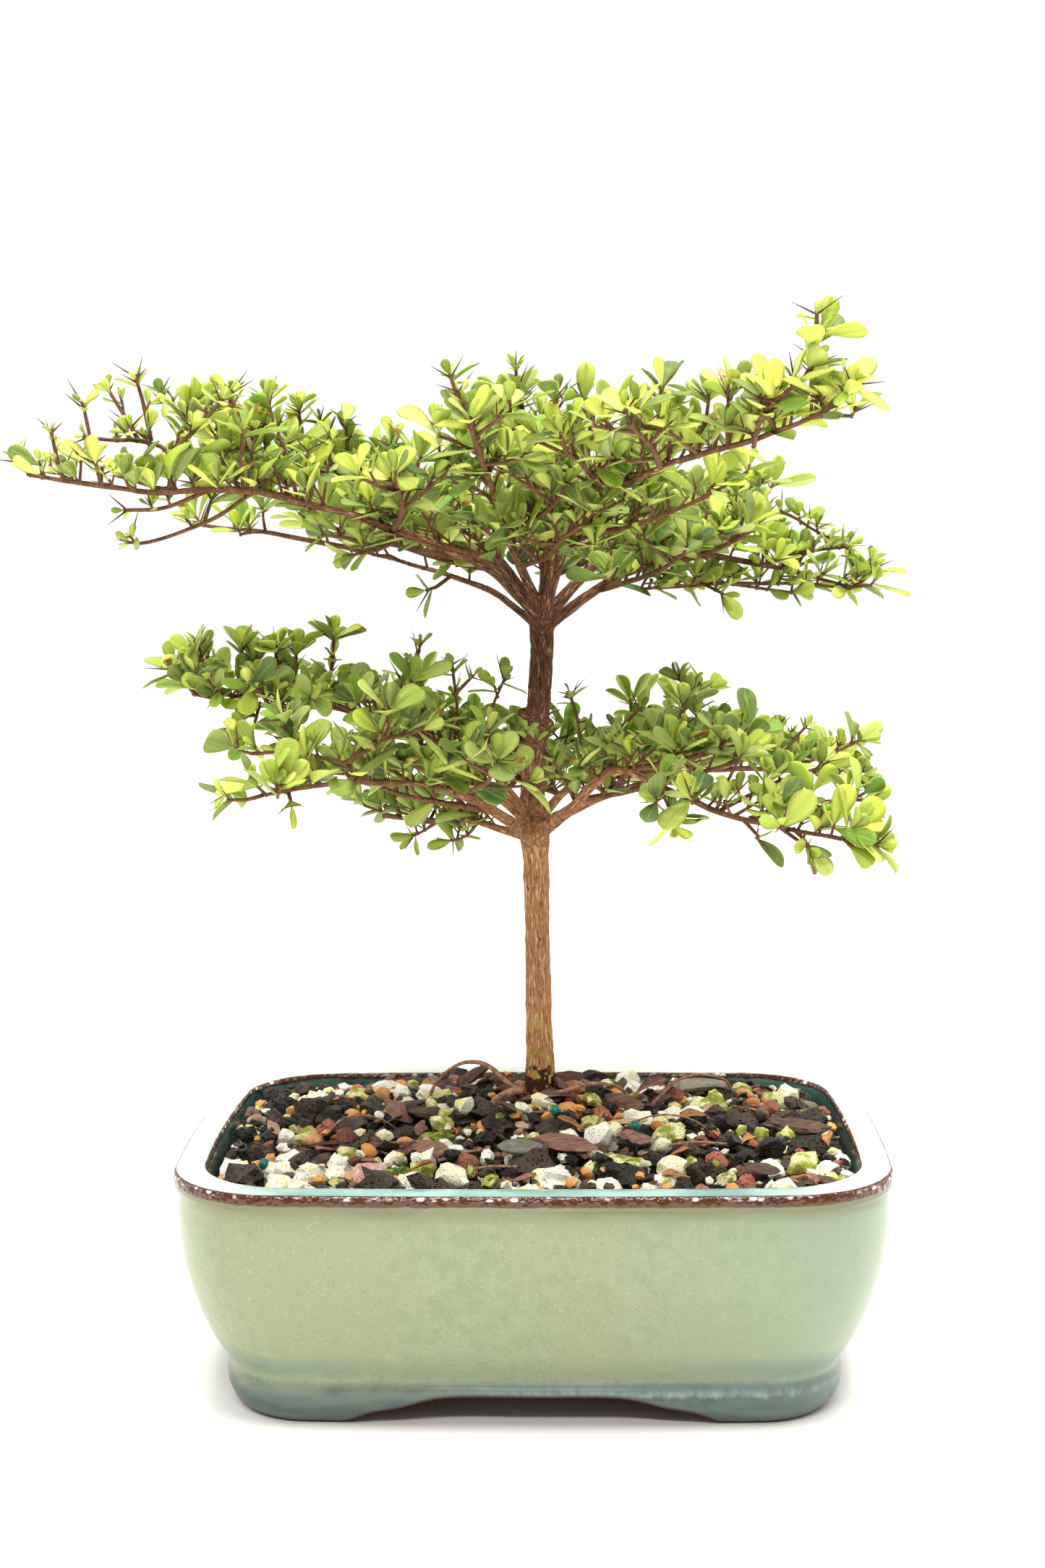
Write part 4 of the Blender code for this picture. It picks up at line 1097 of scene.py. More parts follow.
def wood_lines():
    """Route, radii and kind (trunk, low or up) of every length of wood that grows as one."""
    heights = [z * MM for z, *_ in TRUNK]
    trunk = smooth_route([Vector((x, y, z)) * MM for z, x, y, _ in TRUNK], 1.5 * MM)
    radii = [np.interp(p.z, heights, [r * MM for *_, r in TRUNK]) for p in trunk]
    radii = [r * (1 + 0.06 * noise.noise(Vector((0, 0, p.z / (7 * MM))))) for p, r in zip(trunk, radii)]
    lines = [(trunk, radii, "trunk")]
    for name, (_, foot_radius, bare, _) in LIMBS.items():
        route = part_of_route(smooth_route(limb_route(name), FINE_STEP), 0, bare)
        total = length_of(route)
        radii = []
        for point, share in zip(route, shares_of(route)):
            flare = LIMB_FLARE * math.exp(-max(0, share * total - 4 * MM) / FLARE_REACH)
            knots = 1 + 0.09 * noise.noise(point / (5 * MM))
            slim = LIMB_SLIM * (0.8 if name == "up_left_low" else 1)
            radii.append(limb_radius(foot_radius, share) * slim * (1 + flare) * knots)
        lines.append(([wandered(point) for point in route], radii, name.split("_")[0]))
    for height, turn, length, radius in STUBS:
        foot_x = np.interp(height, [z for z, *_ in TRUNK], [x for _, x, *_ in TRUNK])
        foot = Vector((foot_x, 5, height)) * MM
        way = Vector((math.cos(math.radians(turn)), math.sin(math.radians(turn)), 0.5)).normalized()
        route = [foot + way * length * MM * share for share in (0, 0.4, 0.8, 1)]
        lines.append((route, [radius * MM * k for k in (1.5, 1.15, 1, 0.7)], "trunk"))
    return lines


def add_relief(mesh, lines):
    """Raises the bark in plates along the grain, and paints how dark and how deep each point is.

    It also paints a place for the bark's pattern, drawn out along each length of wood.
    """
    samples = []
    for line, (route, radii, kind) in enumerate(lines):
        shares = shares_of(route)
        total = length_of(route)
        chord = (route[-1] - route[0]).normalized()
        for number, point in enumerate(route):
            way = (route[min(number + 1, len(route) - 1)] - route[max(0, number - 1)]).normalized()
            gone = chord * GRAIN_DRAW * shares[number] * total + Vector((line * 9 * MM, 0, 0))
            samples.append((point, way, radii[number], kind, shares[number], gone, chord))
    tree = kdtree.KDTree(len(samples))
    for number, (point, *_) in enumerate(samples):
        tree.insert(point, number)
    tree.balance()
    marks = []
    spots = [vert.co.copy() for vert in mesh.vertices]
    normals = [vert.normal.copy() for vert in mesh.vertices]
    raised = []
    grains = []
    for spot, normal in zip(spots, normals):
        point, way, radius, kind, share, gone, chord = samples[tree.find(spot)[1]]
        past = (spot - point).dot(way)
        grains.append(spot - point - way * past + chord * GRAIN_DRAW * past + gone)
        lengthwise = way * spot.dot(way)
        grain = (spot - lengthwise) / (0.85 * MM) + lengthwise / (9 * MM)
        furrow = abs(noise.noise(grain)) + 0.5 * abs(noise.noise(grain * 2.1))
        plate = min(1, furrow * 2.4)
        knobs = noise.noise(spot / (3.2 * MM))
        thick = min(1, radius / (4 * MM))
        collar = math.exp(-((spot.z / MM - 161) / 4) ** 2) if kind == "trunk" else 0
        deep = 0.2 if kind != "trunk" else 0.24 if spot.z < 160 * MM else 0.4
        knobby = 0.16 + 0.5 * collar
        raised.append(spot + normal * MM * thick * (deep * (plate - 0.6) + knobby * thick * knobs))
        if kind == "trunk":
            dark = (spot.z / MM - 161 + 6 * noise.noise(spot / (4 * MM))) / 3
        elif kind == "low":
            dark = 0.25 + 0.6 * share + 0.3 * noise.noise(spot / (8 * MM))
        else:
            dark = 1.05 - 0.3 * share + 0.25 * noise.noise(spot / (8 * MM))
        marks.append((min(1, max(0, dark)), plate, share if kind != "trunk" else 0))
    mesh.vertices.foreach_set("co", np.asarray(raised, np.float32).ravel())
    paint(mesh, {"bark": marks, "grain": grains})


def bark_finish(name, twig):
    """Fissured bark: tan to dark brown, with paler plates, algae low down and dark flakes at the foot."""
    bark = Finish(name, 0.85, Specular_IOR_Level=0.12)
    if twig:
        grain = bark.place((1, 1, 0.13))
    else:
        grain = bark.add("Attribute", {}, attribute_name="grain").outputs["Vector"]
    fibre = bark.cloud(0.42 * MM, 5, roughness=0.7, spot=grain)
    threads = bark.cloud(0.62 * MM, 4, roughness=0.65, spot=grain)
    spots = bark.cloud(3.2 * MM, 4)
    height = bark.add("SeparateXYZ", {"Vector": bark.place()}).outputs["Z"]
    if twig:
        colour = bark.tint(bark.step(fibre, 0.3, 0.7), (0.065, 0.028, 0.014), (0.25, 0.13, 0.068))
        colour = bark.tint(bark.step(spots, 0.45, 0.65), colour, (0.11, 0.05, 0.026))
        return bark.finish(colour, None, bark.bump(fibre, 0.15 * MM))
    dark, plate, _ = bark.mark("bark")[:3]
    tan = bark.tint(bark.step(fibre, 0.36, 0.62), (0.18, 0.072, 0.026), (0.44, 0.22, 0.097))
    tan = bark.tint(bark.step(threads, 0.52, 0.62), tan, (0.60, 0.38, 0.21))
    tan = bark.tint(bark.step(spots, 0.5, 0.66), tan, (0.42, 0.17, 0.08), 0.6)
    brown = bark.tint(bark.step(fibre, 0.35, 0.66), (0.042, 0.017, 0.010), (0.215, 0.098, 0.052))
    brown = bark.tint(bark.step(threads, 0.55, 0.64), brown, (0.42, 0.24, 0.14))
    colour = bark.tint(dark, tan, brown)
    groove = bark.tint(dark, (0.15, 0.06, 0.024), (0.025, 0.009, 0.005))
    colour = bark.tint(bark.step(plate, 0.38, 0.08), colour, groove)
    ring = bark.band(height, 154 * MM, 160 * MM, 163 * MM, 169 * MM)
    knobs = bark.cloud(1.7 * MM, 4, roughness=0.7)
    ochre = bark.tint(bark.step(knobs, 0.45, 0.6), (0.10, 0.04, 0.02), (0.40, 0.20, 0.08))
    colour = bark.tint(ring, colour, ochre, 0.6)
    algae = bark.times(bark.step(height, 116 * MM, 88 * MM), bark.step(bark.cloud(4 * MM, 4), 0.48, 0.62))
    colour = bark.tint(algae, colour, (0.42, 0.40, 0.07), 0.6)
    near_grit = bark.times(bark.step(height, 94 * MM, 80 * MM), 0.3)
    rust = bark.times(near_grit, bark.times(bark.step(spots, 0.42, 0.6), 2.2))
    colour = bark.tint(rust, colour, (0.34, 0.14, 0.045))
    flakes = bark.plus(bark.cloud(2.8 * MM, 5, roughness=0.6), near_grit)
    colour = bark.tint(bark.step(flakes, 0.69, 0.74), colour, (0.045, 0.02, 0.011))
    return bark.finish(colour, None, bark.bump(fibre, 0.25 * MM, under=bark.bump(knobs, 0.25 * MM)))


def apply_modifiers(item):
    """Keeps the shape that the modifiers give, and drops them."""
    plain = item.data
    view = bpy.context.evaluated_depsgraph_get()
    item.data = bpy.data.meshes.new_from_object(item.evaluated_get(view))
    item.modifiers.clear()
    bpy.data.meshes.remove(plain)


def make_wood():
    lines = wood_lines()
    points = []
    faces = []
    for route, radii, kind in lines:
        spots, sides = tube(route, radii, 20 if kind == "trunk" else 12)
        faces += [tuple(index + len(points) for index in face) for face in sides]
        points += spots
    wood = add_mesh("trunk_and_limbs", points, faces, [bark_finish("bark", False)])
    skin = wood.modifiers.new("skin", "REMESH")
    skin.mode = "VOXEL"
    skin.voxel_size = SKIN_CELL
    soft = wood.modifiers.new("soft", "SMOOTH")
    soft.factor = 0.5
    soft.iterations = 3
    apply_modifiers(wood)
    add_relief(wood.data, lines)
    wood.data.shade_smooth()
    return wood


wood = make_wood()
wood.location = POT_PLACE
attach(wood, "root")
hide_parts("trunk")

# The leafy stems
# Thin zigzag twigs with short upright spurs. Each spur carries a rosette of small blunt leaves
# that narrow to the foot, and a pair of thin spines stands below it. Each stem is one growth.
SEAT_GAP = 0.3 * MM
TWIG_RADII = (1.05 * MM, 0.85 * MM)
STEM_LENGTHS = (40 * MM, 27 * MM)
STEM_SPREADS = (math.radians(52), math.radians(38), math.radians(68))
STEM_ROOM = 13 * MM
STEM_RISE = 0.16
TWIG_ZIGZAG = 1.3 * MM
ROSETTE_SPACING = 18 * MM
FIRST_ROSETTE = 0.45
SPUR_LENGTHS = (4.6 * MM, 9.5 * MM)
LONG_SPUR = 17 * MM
SPUR_RADIUS = 0.5 * MM
FINE_SPUR = 0.42 * MM
SMALL_BLADE = 7.5 * MM
LONG_BLADE = 14.2 * MM
BLADE_THICKNESS = 0.28 * MM
BLADE_CELL = 1.7 * MM
CROWD_STEP = 1.2 * MM
THIN_LIMBS = {"up_left_low": 0.22, "low_back_right": 0.7, "up_right": 0.8}
SHOWN_LIMBS = ("low_front_left", "low_front_right", "up_left")
CLEAR_FRONT = 13
# Side twigs that stand in front of the lower tier: route in millimetres, leaves at the tip, longest
FRONT_TWIGS = [
    ("low", [(-46, -66, 181), (-49, -68, 186), (-63, -74, 191), (-63.4, -76, 199)], 5, 12),
    ("low", [(-63, -74, 191), (-73, -70, 189), (-79, -70, 191)], 4, 11),
    ("low", [(-49, -68, 186), (-38, -72, 193), (-36, -74, 201)], 4, 13.5),
    ("low", [(-38, -72, 193), (-27, -70, 195)], 4, 11),
]


class Placed:
    """Points along what has grown so far, for finding the side of a limb with most room."""

    def __init__(self):
        self.points = np.zeros((0, 3))
        self.reach = np.zeros(0)

    def add_stem(self, points, reach):
        for a, b in zip(points, points[1:]):
            count = max(2, round((b - a).length / (1.5 * MM)))
            spots = np.array([a.lerp(b, i / count) for i in range(count + 1)])
            self.points = np.vstack([self.points, spots])
            self.reach = np.append(self.reach, np.full(len(spots), reach))

    def room(self, points):
        spots = [a.lerp(b, share) for a, b in zip(points, points[1:]) for share in (0, 0.5, 1)]
        gaps = np.linalg.norm(np.array(spots)[:, None] - self.points[None], axis=2) - self.reach
        return gaps.min()


def zigzag(start, way, length):
    """A side stem's middle line: it kinks a little at each rosette and bends upwards."""
    steps = max(2, round(length / ROSETTE_SPACING))
    across = way.cross(UP).normalized()
    points = [start]
    for step in range(1, steps + 1):
        share = step / steps
        kink = across * TWIG_ZIGZAG * (-1) ** step
        points.append(start + way * length * share + kink + UP * 0.1 * length * share**2)
    return points


def side_stem(start, heading, radius, length, turn, spread):
    side = heading.cross(UP).normalized() * turn
    flat = Vector((heading.x, heading.y, 0)).normalized()
    way = (flat * math.cos(spread) + side * math.sin(spread) + UP * STEM_RISE).normalized()
    lean = abs(way.dot(heading))
    reach = (radius + SEAT_GAP + TWIG_RADII[0] * lean) / math.sqrt(1 - lean**2)
    return zigzag(start + way * reach, way, length)


def stem_routes():
    """The middle line of every leafy stem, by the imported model's own rule: limb ends, then sides."""
    placed = Placed()
    placed.add_stem([Vector((x, y, z)) * MM for z, x, y, _ in TRUNK], 4 * MM)
    for name, (_, foot_radius, bare, _) in LIMBS.items():
        placed.add_stem(part_of_route(limb_route(name), 0, bare), 0.7 * foot_radius * MM)
    routes = {}
    for name, (_, _, bare, _) in LIMBS.items():
        route = limb_route(name)
        total = length_of(route)
        routes[name + "_end"] = part_of_route(route, bare + SEAT_GAP / total, 1)
        placed.add_stem(routes[name + "_end"], TWIG_RADII[0])
    for name, (_, foot_radius, bare, sides) in LIMBS.items():
        for number in range(sides):
            share = bare * (0.34 + 0.58 * number / max(2, sides - 1))
            start, heading = along(limb_route(name), share)
            radius = limb_radius(foot_radius, share / bare)
            length = STEM_LENGTHS[0] + (STEM_LENGTHS[1] - STEM_LENGTHS[0]) * number / sides
            length *= random.Random(f"{name} {number}").uniform(0.9, 1.15)
            choices = [
                side_stem(start, heading, radius, length, turn, spread)
                for turn in ((-1) ** number, -((-1) ** number))
                for spread in STEM_SPREADS
            ]
            roomy = [choice for choice in choices if placed.room(choice[1:]) > STEM_ROOM]
            chosen = roomy[0] if roomy else max(choices, key=lambda choice: placed.room(choice[1:]))
            routes[f"{name}_{number + 1}"] = chosen
            placed.add_stem(chosen, TWIG_RADII[0])
    return routes


def spurs_of(name, route):
    """Foot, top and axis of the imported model's spurs on a stem, the stem's tip last."""
    total = length_of(route)
    count = max(2, round(total / ROSETTE_SPACING))
    spurs = []
    for number in range(1, count + 1):
        draw = random.Random(f"{name} spur {number}")
        share = (number - FIRST_ROSETTE) / (count - FIRST_ROSETTE)
        foot, heading = along(route, share - (0.8 * MM / total if number == count else 0))
        across = heading.cross(UP).normalized() * (-1) ** number
        axis = (UP + across * draw.uniform(0.15, 0.5) + heading * draw.uniform(0.1, 0.45)).normalized()
        length = draw.uniform(*SPUR_LENGTHS)
        if number == 1 and draw.random() < 0.4:
            length = LONG_SPUR
        if number == count:
            length = SPUR_LENGTHS[0]
            axis = (heading + UP).normalized()
        spurs.append((foot, foot + axis * length, axis))
    return spurs


class Blade:
    """The grid that a blade is drawn on: points along and across it, and a middle line below."""

    def __init__(self, stations, across):
        rows = len(stations)
        wide = len(across)
        self.stations = np.array(stations)
        self.along = np.concatenate([np.repeat(stations, wide), stations])
        self.side = np.concatenate([np.tile(across, rows), np.zeros(rows)])
        self.under = (np.arange(len(self.along)) >= wide * rows).astype(float)
        self.marks = np.stack([self.along, self.side, self.under], 1)
        self.wide = wide
        self.spoon = self.outline(1.05, 3)
        self.oval = self.outline(0.72, 1.9)
        self.tested = [
            row * wide + c for row in range(rows // 3, rows, 2) for c in (0, wide // 2, wide - 1)
        ]
        self.faces = []
        for row in range(rows - 1):
            near = row * wide
            far = near + wide
            for c in range(wide - 1):
                self.faces.append([near + c, far + c, far + c + 1, near + c + 1])
            under = rows * wide + row
            self.faces.append([near, under, under + 1, far])
            self.faces.append([under, far - 1, far + wide - 1, under + 1])
        self.faces.append([*range(wide), rows * wide])
        self.faces.append([rows * wide + rows - 1, *range(rows * wide - 1, rows * wide - wide - 1, -1)])

    def outline(self, base, tip):
        """Half width along the blade, 1 at its widest: a slim stalk, then a blade with a round end."""
        share = np.clip((self.stations - 0.05) / 0.95, 0, 1)
        half = share**base * np.sqrt(1 - share**tip)
        half = np.maximum(half / half.max(), 0.09)
        return np.concatenate([np.repeat(half, self.wide), half])

    def points(self, length, width, round_share, fold, bend, twist, ripple, phase):
        """A blunt blade along x, folded a little at the midrib, bent, twisted and rippled."""
        half = (self.spoon + (self.oval - self.spoon) * round_share) * width * length / 2
        y = self.side * half
        z = fold * np.abs(self.side) ** 1.2 * half + bend * length * self.along**2
        z += ripple * length * np.sin(self.along * 11 + phase) * self.side**2
        z += BLADE_THICKNESS * (0.5 - self.under) * (1 - self.side**2)
        z -= 0.3 * MM * self.under * (1 - self.along)
        turn = twist * self.along
        across = y * np.cos(turn) - z * np.sin(turn)
        return np.stack([self.along * length, across, y * np.sin(turn) + z * np.cos(turn)], 1)


FINE_BLADE = Blade([0, 0.06, 0.16, 0.3, 0.45, 0.6, 0.73, 0.84, 0.92, 0.975, 1], [-1, -0.5, 0, 0.5, 1])
PLAIN_BLADE = Blade([0, 0.08, 0.25, 0.45, 0.65, 0.82, 0.94, 1], [-1, 0, 1])


class Crowd:
    """Small cubes of space that blades and wood already fill, so that blades grow round them."""

    def __init__(self):
        self.cells = set()

    def cells_of(self, points):
        return {tuple(cell) for cell in np.floor(np.asarray(points) / BLADE_CELL).astype(int).tolist()}

    def meets(self, points):
        return len(self.cells_of(points) & self.cells)

    def fill(self, points):
        self.cells |= self.cells_of(points)

    def keep_front_clear(self, route):
        """No blade may hide this wood from the front."""
        for ahead in range(2, CLEAR_FRONT, 2):
            for lift in (-0.8, 0.8):
                self.fill([spot + Vector((0, -ahead, lift)) * MM for spot in route])


class Growth:
    """The meshes of one leafy piece as they grow: wood first, then blades."""

    def __init__(self):
        self.points = []
        self.faces = []
        self.kinds = []
        self.blade = []
        self.tint = []
        self.count = 0

    def add(self, points, faces, kind, blade, tint):
        self.points.append(np.asarray(points))
        self.faces += [[index + self.count for index in face] for face in faces]
        self.kinds += [kind] * len(faces)
        self.blade.append(blade)
        self.tint.append(np.tile(tint, (len(points), 1)))
        self.count += len(points)

    def add_wood(self, points, radii, sides):
        spots, faces = tube(points, radii, sides)
        self.add(spots, faces, 0, np.zeros((len(spots), 3)), (0, 0, 0))

    def add_blade(self, blade, points, tint):
        self.add(points, blade.faces, 1, blade.marks, tint)


def ripeness_and_shade(place, draw):
    """0 for pale new growth at the ends of the upper tier, 1 for dark old leaves inside and low; the
    darkening inside, low and at the back is partly painted shade.
    """
    out = math.hypot(place.x - TRUNK_X, place.y - TRUNK_Y) / (115 * MM)
    upper = place.z > 212 * MM
    value = (0.95 if upper else 0.88) - (0.68 if upper else 0.22) * out**2
    # Painted shade: leaves at the back are made darker.
    value += 0.15 if place.y > 20 * MM else 0
    value -= 0.08 if upper and place.x > 45 * MM else 0
    return min(1, max(0, value + draw.uniform(-0.22, 0.22)))


def spacing_on(name, spacing):
    """Wider apart on the limbs that carry fewer leaves."""
    return spacing / THIN_LIMBS.get(name.removesuffix("_end"), 1)


def vigour(place):
    """1 over most of the tree, less towards the thin ends of the upper left limbs."""
    return 1 - 0.5 * min(1, max(0, (-98 * MM - place.x) / (26 * MM)))


def grow_rosette(growth, crowd, top, axis, draw, count, longest):
    """Blades in a spiral, the outer ones long and spread, the inner ones short and upright."""
    spin = draw.uniform(0, 2 * math.pi)
    frame_of_spur = axis.to_track_quat("Z", "Y").to_matrix()
    # Darker for old leaves, and for painted shade inside, low and at the back.
    age_and_shade = ripeness_and_shade(top, draw)
    strength = vigour(top)
    count = max(2, round(count * strength + draw.uniform(-0.3, 0.3)))
    longest *= 0.45 + 0.55 * strength
    widths = (0.34, 0.48) if longest > LONG_BLADE else (0.43, 0.62)
    for number in range(count):
        inner = number / max(1, count - 1)
        length = longest * (1 - 0.5 * inner) * draw.uniform(0.72, 1.1)
        lean = math.radians(68 - 46 * inner + draw.uniform(-16, 12))
        foot = top - axis * (1.8 - 1.6 * inner) * MM
        blade = PLAIN_BLADE if length < SMALL_BLADE else FINE_BLADE
        shape = blade.points(
            length, draw.uniform(*widths), draw.random(),
            draw.uniform(0.05, 0.35), draw.uniform(-0.14, 0.06), draw.uniform(-0.5, 0.5),
            draw.uniform(0, 0.012), draw.uniform(0, 6),
        )
        for attempt in range(6):
            turn = spin + number * math.radians(137.5) + draw.uniform(-0.25, 0.25) * (1 + attempt)
            tilt = lean - math.radians(6) * attempt * draw.uniform(-0.5, 1)
            outward = frame_of_spur @ Vector((math.cos(turn), math.sin(turn), 0))
            way = axis * math.cos(tilt) + outward * math.sin(tilt)
            across = axis.cross(way).normalized()
            normal = way.cross(across)
            turned = np.array(Matrix((way, across, normal)))
            points = shape @ turned + np.array(foot)
            if crowd.meets(points[blade.tested]) < 2:
                crowd.fill(points[blade.tested])
                growth.add_blade(blade, points, (max(0, age_and_shade - 0.35 * inner), draw.random(), draw.random()))
                break


def grow_spines(growth, foot, axis, draw):
    """A pair of thin straight spines."""
    turn = Vector((draw.uniform(-1, 1), draw.uniform(-1, 1), draw.uniform(-0.3, 0.3)))
    for side in (-1, 1):
        way = (axis.cross(turn).normalized() * side + axis * draw.uniform(0.4, 1.1)).normalized()
        length = draw.uniform(4, 8.5) * MM
        route = [foot, foot + way * length * 0.5, foot + way * length]
        growth.add_wood(route, (0.3 * MM, 0.2 * MM, 0.04 * MM), 5)


def grow_spur(growth, crowd, foot, axis, length, draw, count, longest, thick=SPUR_RADIUS):
    """A short upright shoot with its rosette and often a pair of spines near its top."""
    bow = axis.orthogonal().normalized() * draw.uniform(-0.08, 0.08) * length
    route = [foot - axis * 0.5 * MM, foot + axis * 0.5 * length + bow, foot + axis * length]
    growth.add_wood(route, (thick * 1.15, thick * 0.85, thick * 1.1), 6)
    crowd.fill([route[1]])
    grow_rosette(growth, crowd, route[-1], axis, draw, count, longest)
    if draw.random() < 0.6:
        grow_spines(growth, foot + axis * draw.uniform(0.3, 0.9) * length, axis, draw)


def grow_top_shoot(growth, crowd, foot, length, draw):
    """A thin straight shoot that stands above the leaves: spines, and small new leaves at its top."""
    axis = Vector((draw.uniform(-0.28, 0.28), draw.uniform(-0.28, 0.28), 1)).normalized()
    route = [foot - axis * 0.5 * MM, foot + axis * length * 0.5, foot + axis * length]
    growth.add_wood(route, (0.48 * MM, 0.38 * MM, 0.34 * MM), 6)
    grow_spines(growth, foot + axis * (length - 0.5 * MM), axis, draw)
    if length > 9 * MM:
        grow_spines(growth, foot + axis * length * 0.6, axis, draw)
        grow_rosette(growth, crowd, foot + axis * length * 0.62, axis, draw, 2, 8.5 * MM)
    grow_rosette(growth, crowd, route[-1], axis, draw, 4, 6 * MM)


def grow_twig(growth, route, radii):
    """A twig that thickens a little at each node and wanders as wood does."""
    fine = smooth_route(route, 2.5 * MM)
    thick = [
        (radii[0] + (radii[1] - radii[0]) * share) * (1 + 0.16 * noise.noise(point / (2.6 * MM)))
        for point, share in zip(fine, shares_of(fine))
    ]
    fine = [wandered(point) for point in fine]
    growth.add_wood(fine, thick, 8)
    return fine


def grow_side_shoots(growth, crowd, route, draw, spacing):
    """Short twigs to both sides in turn, with a rosette half way along and one at the end."""
    total = length_of(route)
    shoots = max(2, round(total / spacing))
    for number in range(shoots):
        foot, heading = along(route, (number + draw.uniform(0.25, 0.7)) / shoots)
        if draw.random() > vigour(foot):
            continue
        side = heading.cross(UP).normalized() * (-1) ** number
        way = (heading * draw.uniform(0.3, 0.9) + side + UP * draw.uniform(-0.15, 0.55)).normalized()
        length = draw.uniform(8, 18) * MM
        kink = side.cross(way).normalized() * draw.uniform(-1, 1) * MM
        foot = wandered(foot)
        shoot = [foot, foot + way * 0.5 * length + kink, foot + way * length]
        growth.add_wood(shoot, (0.62 * MM, 0.5 * MM, 0.42 * MM), 6)
        crowd.fill(shoot[1:])
        for place, lift in ((0.55, draw.uniform(2, 6)), (1, draw.uniform(1.5, 3))):
            spot, _ = along(shoot, place)
            axis = UP * draw.uniform(0.5, 1.2) + way * draw.uniform(0.2, 0.9)
            axis = (axis + side * draw.uniform(-0.4, 0.4)).normalized()
            leaves = draw.randint(3, 5)
            grow_spur(growth, crowd, spot, axis, lift * MM, draw, leaves, 12.5 * MM, FINE_SPUR)


def grow_buds(growth, crowd, route, draw, spacing, longest, lifts=(2, 7)):
    """Rosettes on short spurs of their own, above and beside a stem."""
    total = length_of(route)
    buds = max(2, round(total / spacing))
    for number in range(buds):
        foot, heading = along(route, (number + draw.uniform(0.1, 0.9)) / buds)
        if draw.random() > vigour(foot):
            continue
        side = heading.cross(UP).normalized() * draw.choice((-1, 1))
        axis = UP * draw.uniform(0.35, 1.2) + side * draw.uniform(0, 0.8)
        axis = (axis + heading * draw.uniform(0, 0.5)).normalized()
        lift = draw.uniform(*lifts) * MM
        leaves = draw.randint(3, 5)
        grow_spur(growth, crowd, wandered(foot), axis, lift, draw, leaves, longest, FINE_SPUR)


def grow_stem(name, route, spurs, crowd, growth):
    """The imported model's twig and spurs, then the finer shoots between them."""
    draw = random.Random(name + " leaves")
    start_way = (route[1] - route[0]).normalized()
    twig = grow_twig(growth, [route[0] - start_way * 1.6 * MM, *route[1:]], (0.95 * MM, 0.5 * MM))
    crowd.fill(twig)
    longest = (14.5 if name.startswith("up_front_right") else 14) * MM
    for foot, top, axis in spurs:
        leaves = draw.randint(5, 7)
        grow_spur(growth, crowd, wandered(foot), axis, (top - foot).length, draw, leaves, longest)
    grow_side_shoots(growth, crowd, route, draw, spacing_on(name, 12 * MM))
    grow_buds(growth, crowd, route, draw, spacing_on(name, 6 * MM), 12.8 * MM)
    if spacing_on(name, 1) > 2:
        return
    for _ in range(2 if name.startswith("up") else 1):
        foot, _ = along(route, draw.uniform(0.1, 0.95))
        grow_top_shoot(growth, crowd, wandered(foot), draw.uniform(7, 17) * MM, draw)


def leaf_finish():
    """Soft leaf: pale when new, dark when old and where painted shade falls inside, low and at the back,
    duller and lighter below, with a fine net of veins and a painted highlight along its margin.
    """
    leaf = Finish("leaf", 0.5, Subsurface_Weight=0.22, Subsurface_Scale=0.0012, Specular_IOR_Level=0.12)
    leaf.shader.inputs["Subsurface Radius"].default_value = (0.55, 1.0, 0.15)
    length, across, under = leaf.mark("blade")[:3]
    age_and_shade, chance, hurt = leaf.mark("growth")[:3]
    # The first growth value darkens old leaves and also paints shade on leaves inside, low and at the back.
    young = leaf.tint(leaf.step(age_and_shade, 0, 0.4), (0.67, 0.72, 0.135), (0.46, 0.52, 0.060))
    colour = leaf.tint(leaf.step(age_and_shade, 0.4, 0.9), young, (0.245, 0.302, 0.064))
    pale = leaf.tint(leaf.step(age_and_shade, 0.45, 0.7), (0.73, 0.77, 0.18), (0.57, 0.63, 0.17))
    colour = leaf.tint(leaf.step(chance, 0.52, 0.95), colour, leaf.tint(0.62, colour, pale))
    colour = leaf.tint(leaf.step(chance, 0.48, 0.1), colour, leaf.tint(0.82, colour, (0.028, 0.070, 0.036)))
    colour = leaf.tint(leaf.step(hurt, 0.7, 0.9), colour, (0.20, 0.37, 0.035), 0.5)
    colour = leaf.tint(leaf.step(hurt, 0.3, 0.1), colour, (0.34, 0.375, 0.15), 0.45)
    mottle = leaf.step(leaf.cloud(2.5 * MM, 4), 0.45, 0.75)
    colour = leaf.tint(mottle, colour, leaf.tint(0.2, colour, (0.42, 0.49, 0.05)))
    below = leaf.tint(0.5, colour, (0.36, 0.41, 0.10))
    colour = leaf.tint(under, colour, below)
    off_rib = leaf.reckon("ABSOLUTE", across)
    rib = leaf.step(off_rib, 0.13, 0.02)
    slant = leaf.times(off_rib, 16)
    branches = leaf.reckon("SINE", leaf.reckon("SUBTRACT", leaf.times(length, 62), slant), 0)
    veins = leaf.step(branches, 0.75, 1)
    net = leaf.reckon("MAXIMUM", rib, leaf.times(veins, 0.35))
    colour = leaf.tint(net, colour, (0.46, 0.53, 0.11), 0.3)
    # Painted highlight: a paler margin on every leaf, standing in for backlit glow along its edge.
    rim_highlight = leaf.step(off_rib, 0.84, 1)
    colour = leaf.tint(rim_highlight, colour, (0.56, 0.61, 0.11), 0.7)
    scorch = leaf.plus(leaf.cloud(3 * MM, 4), leaf.times(length, 0.35))
    scorched = leaf.times(leaf.step(scorch, 0.72, 0.8), leaf.step(hurt, 0.975, 0.985))
    colour = leaf.tint(scorched, colour, (0.24, 0.075, 0.015))
    roughness = leaf.plus(leaf.times(under, 0.22), 0.42)
    relief = leaf.bump(net, 0.12 * MM, under=leaf.bump(leaf.cloud(0.5 * MM, 2), 0.04 * MM))
    return leaf.finish(colour, roughness, relief)


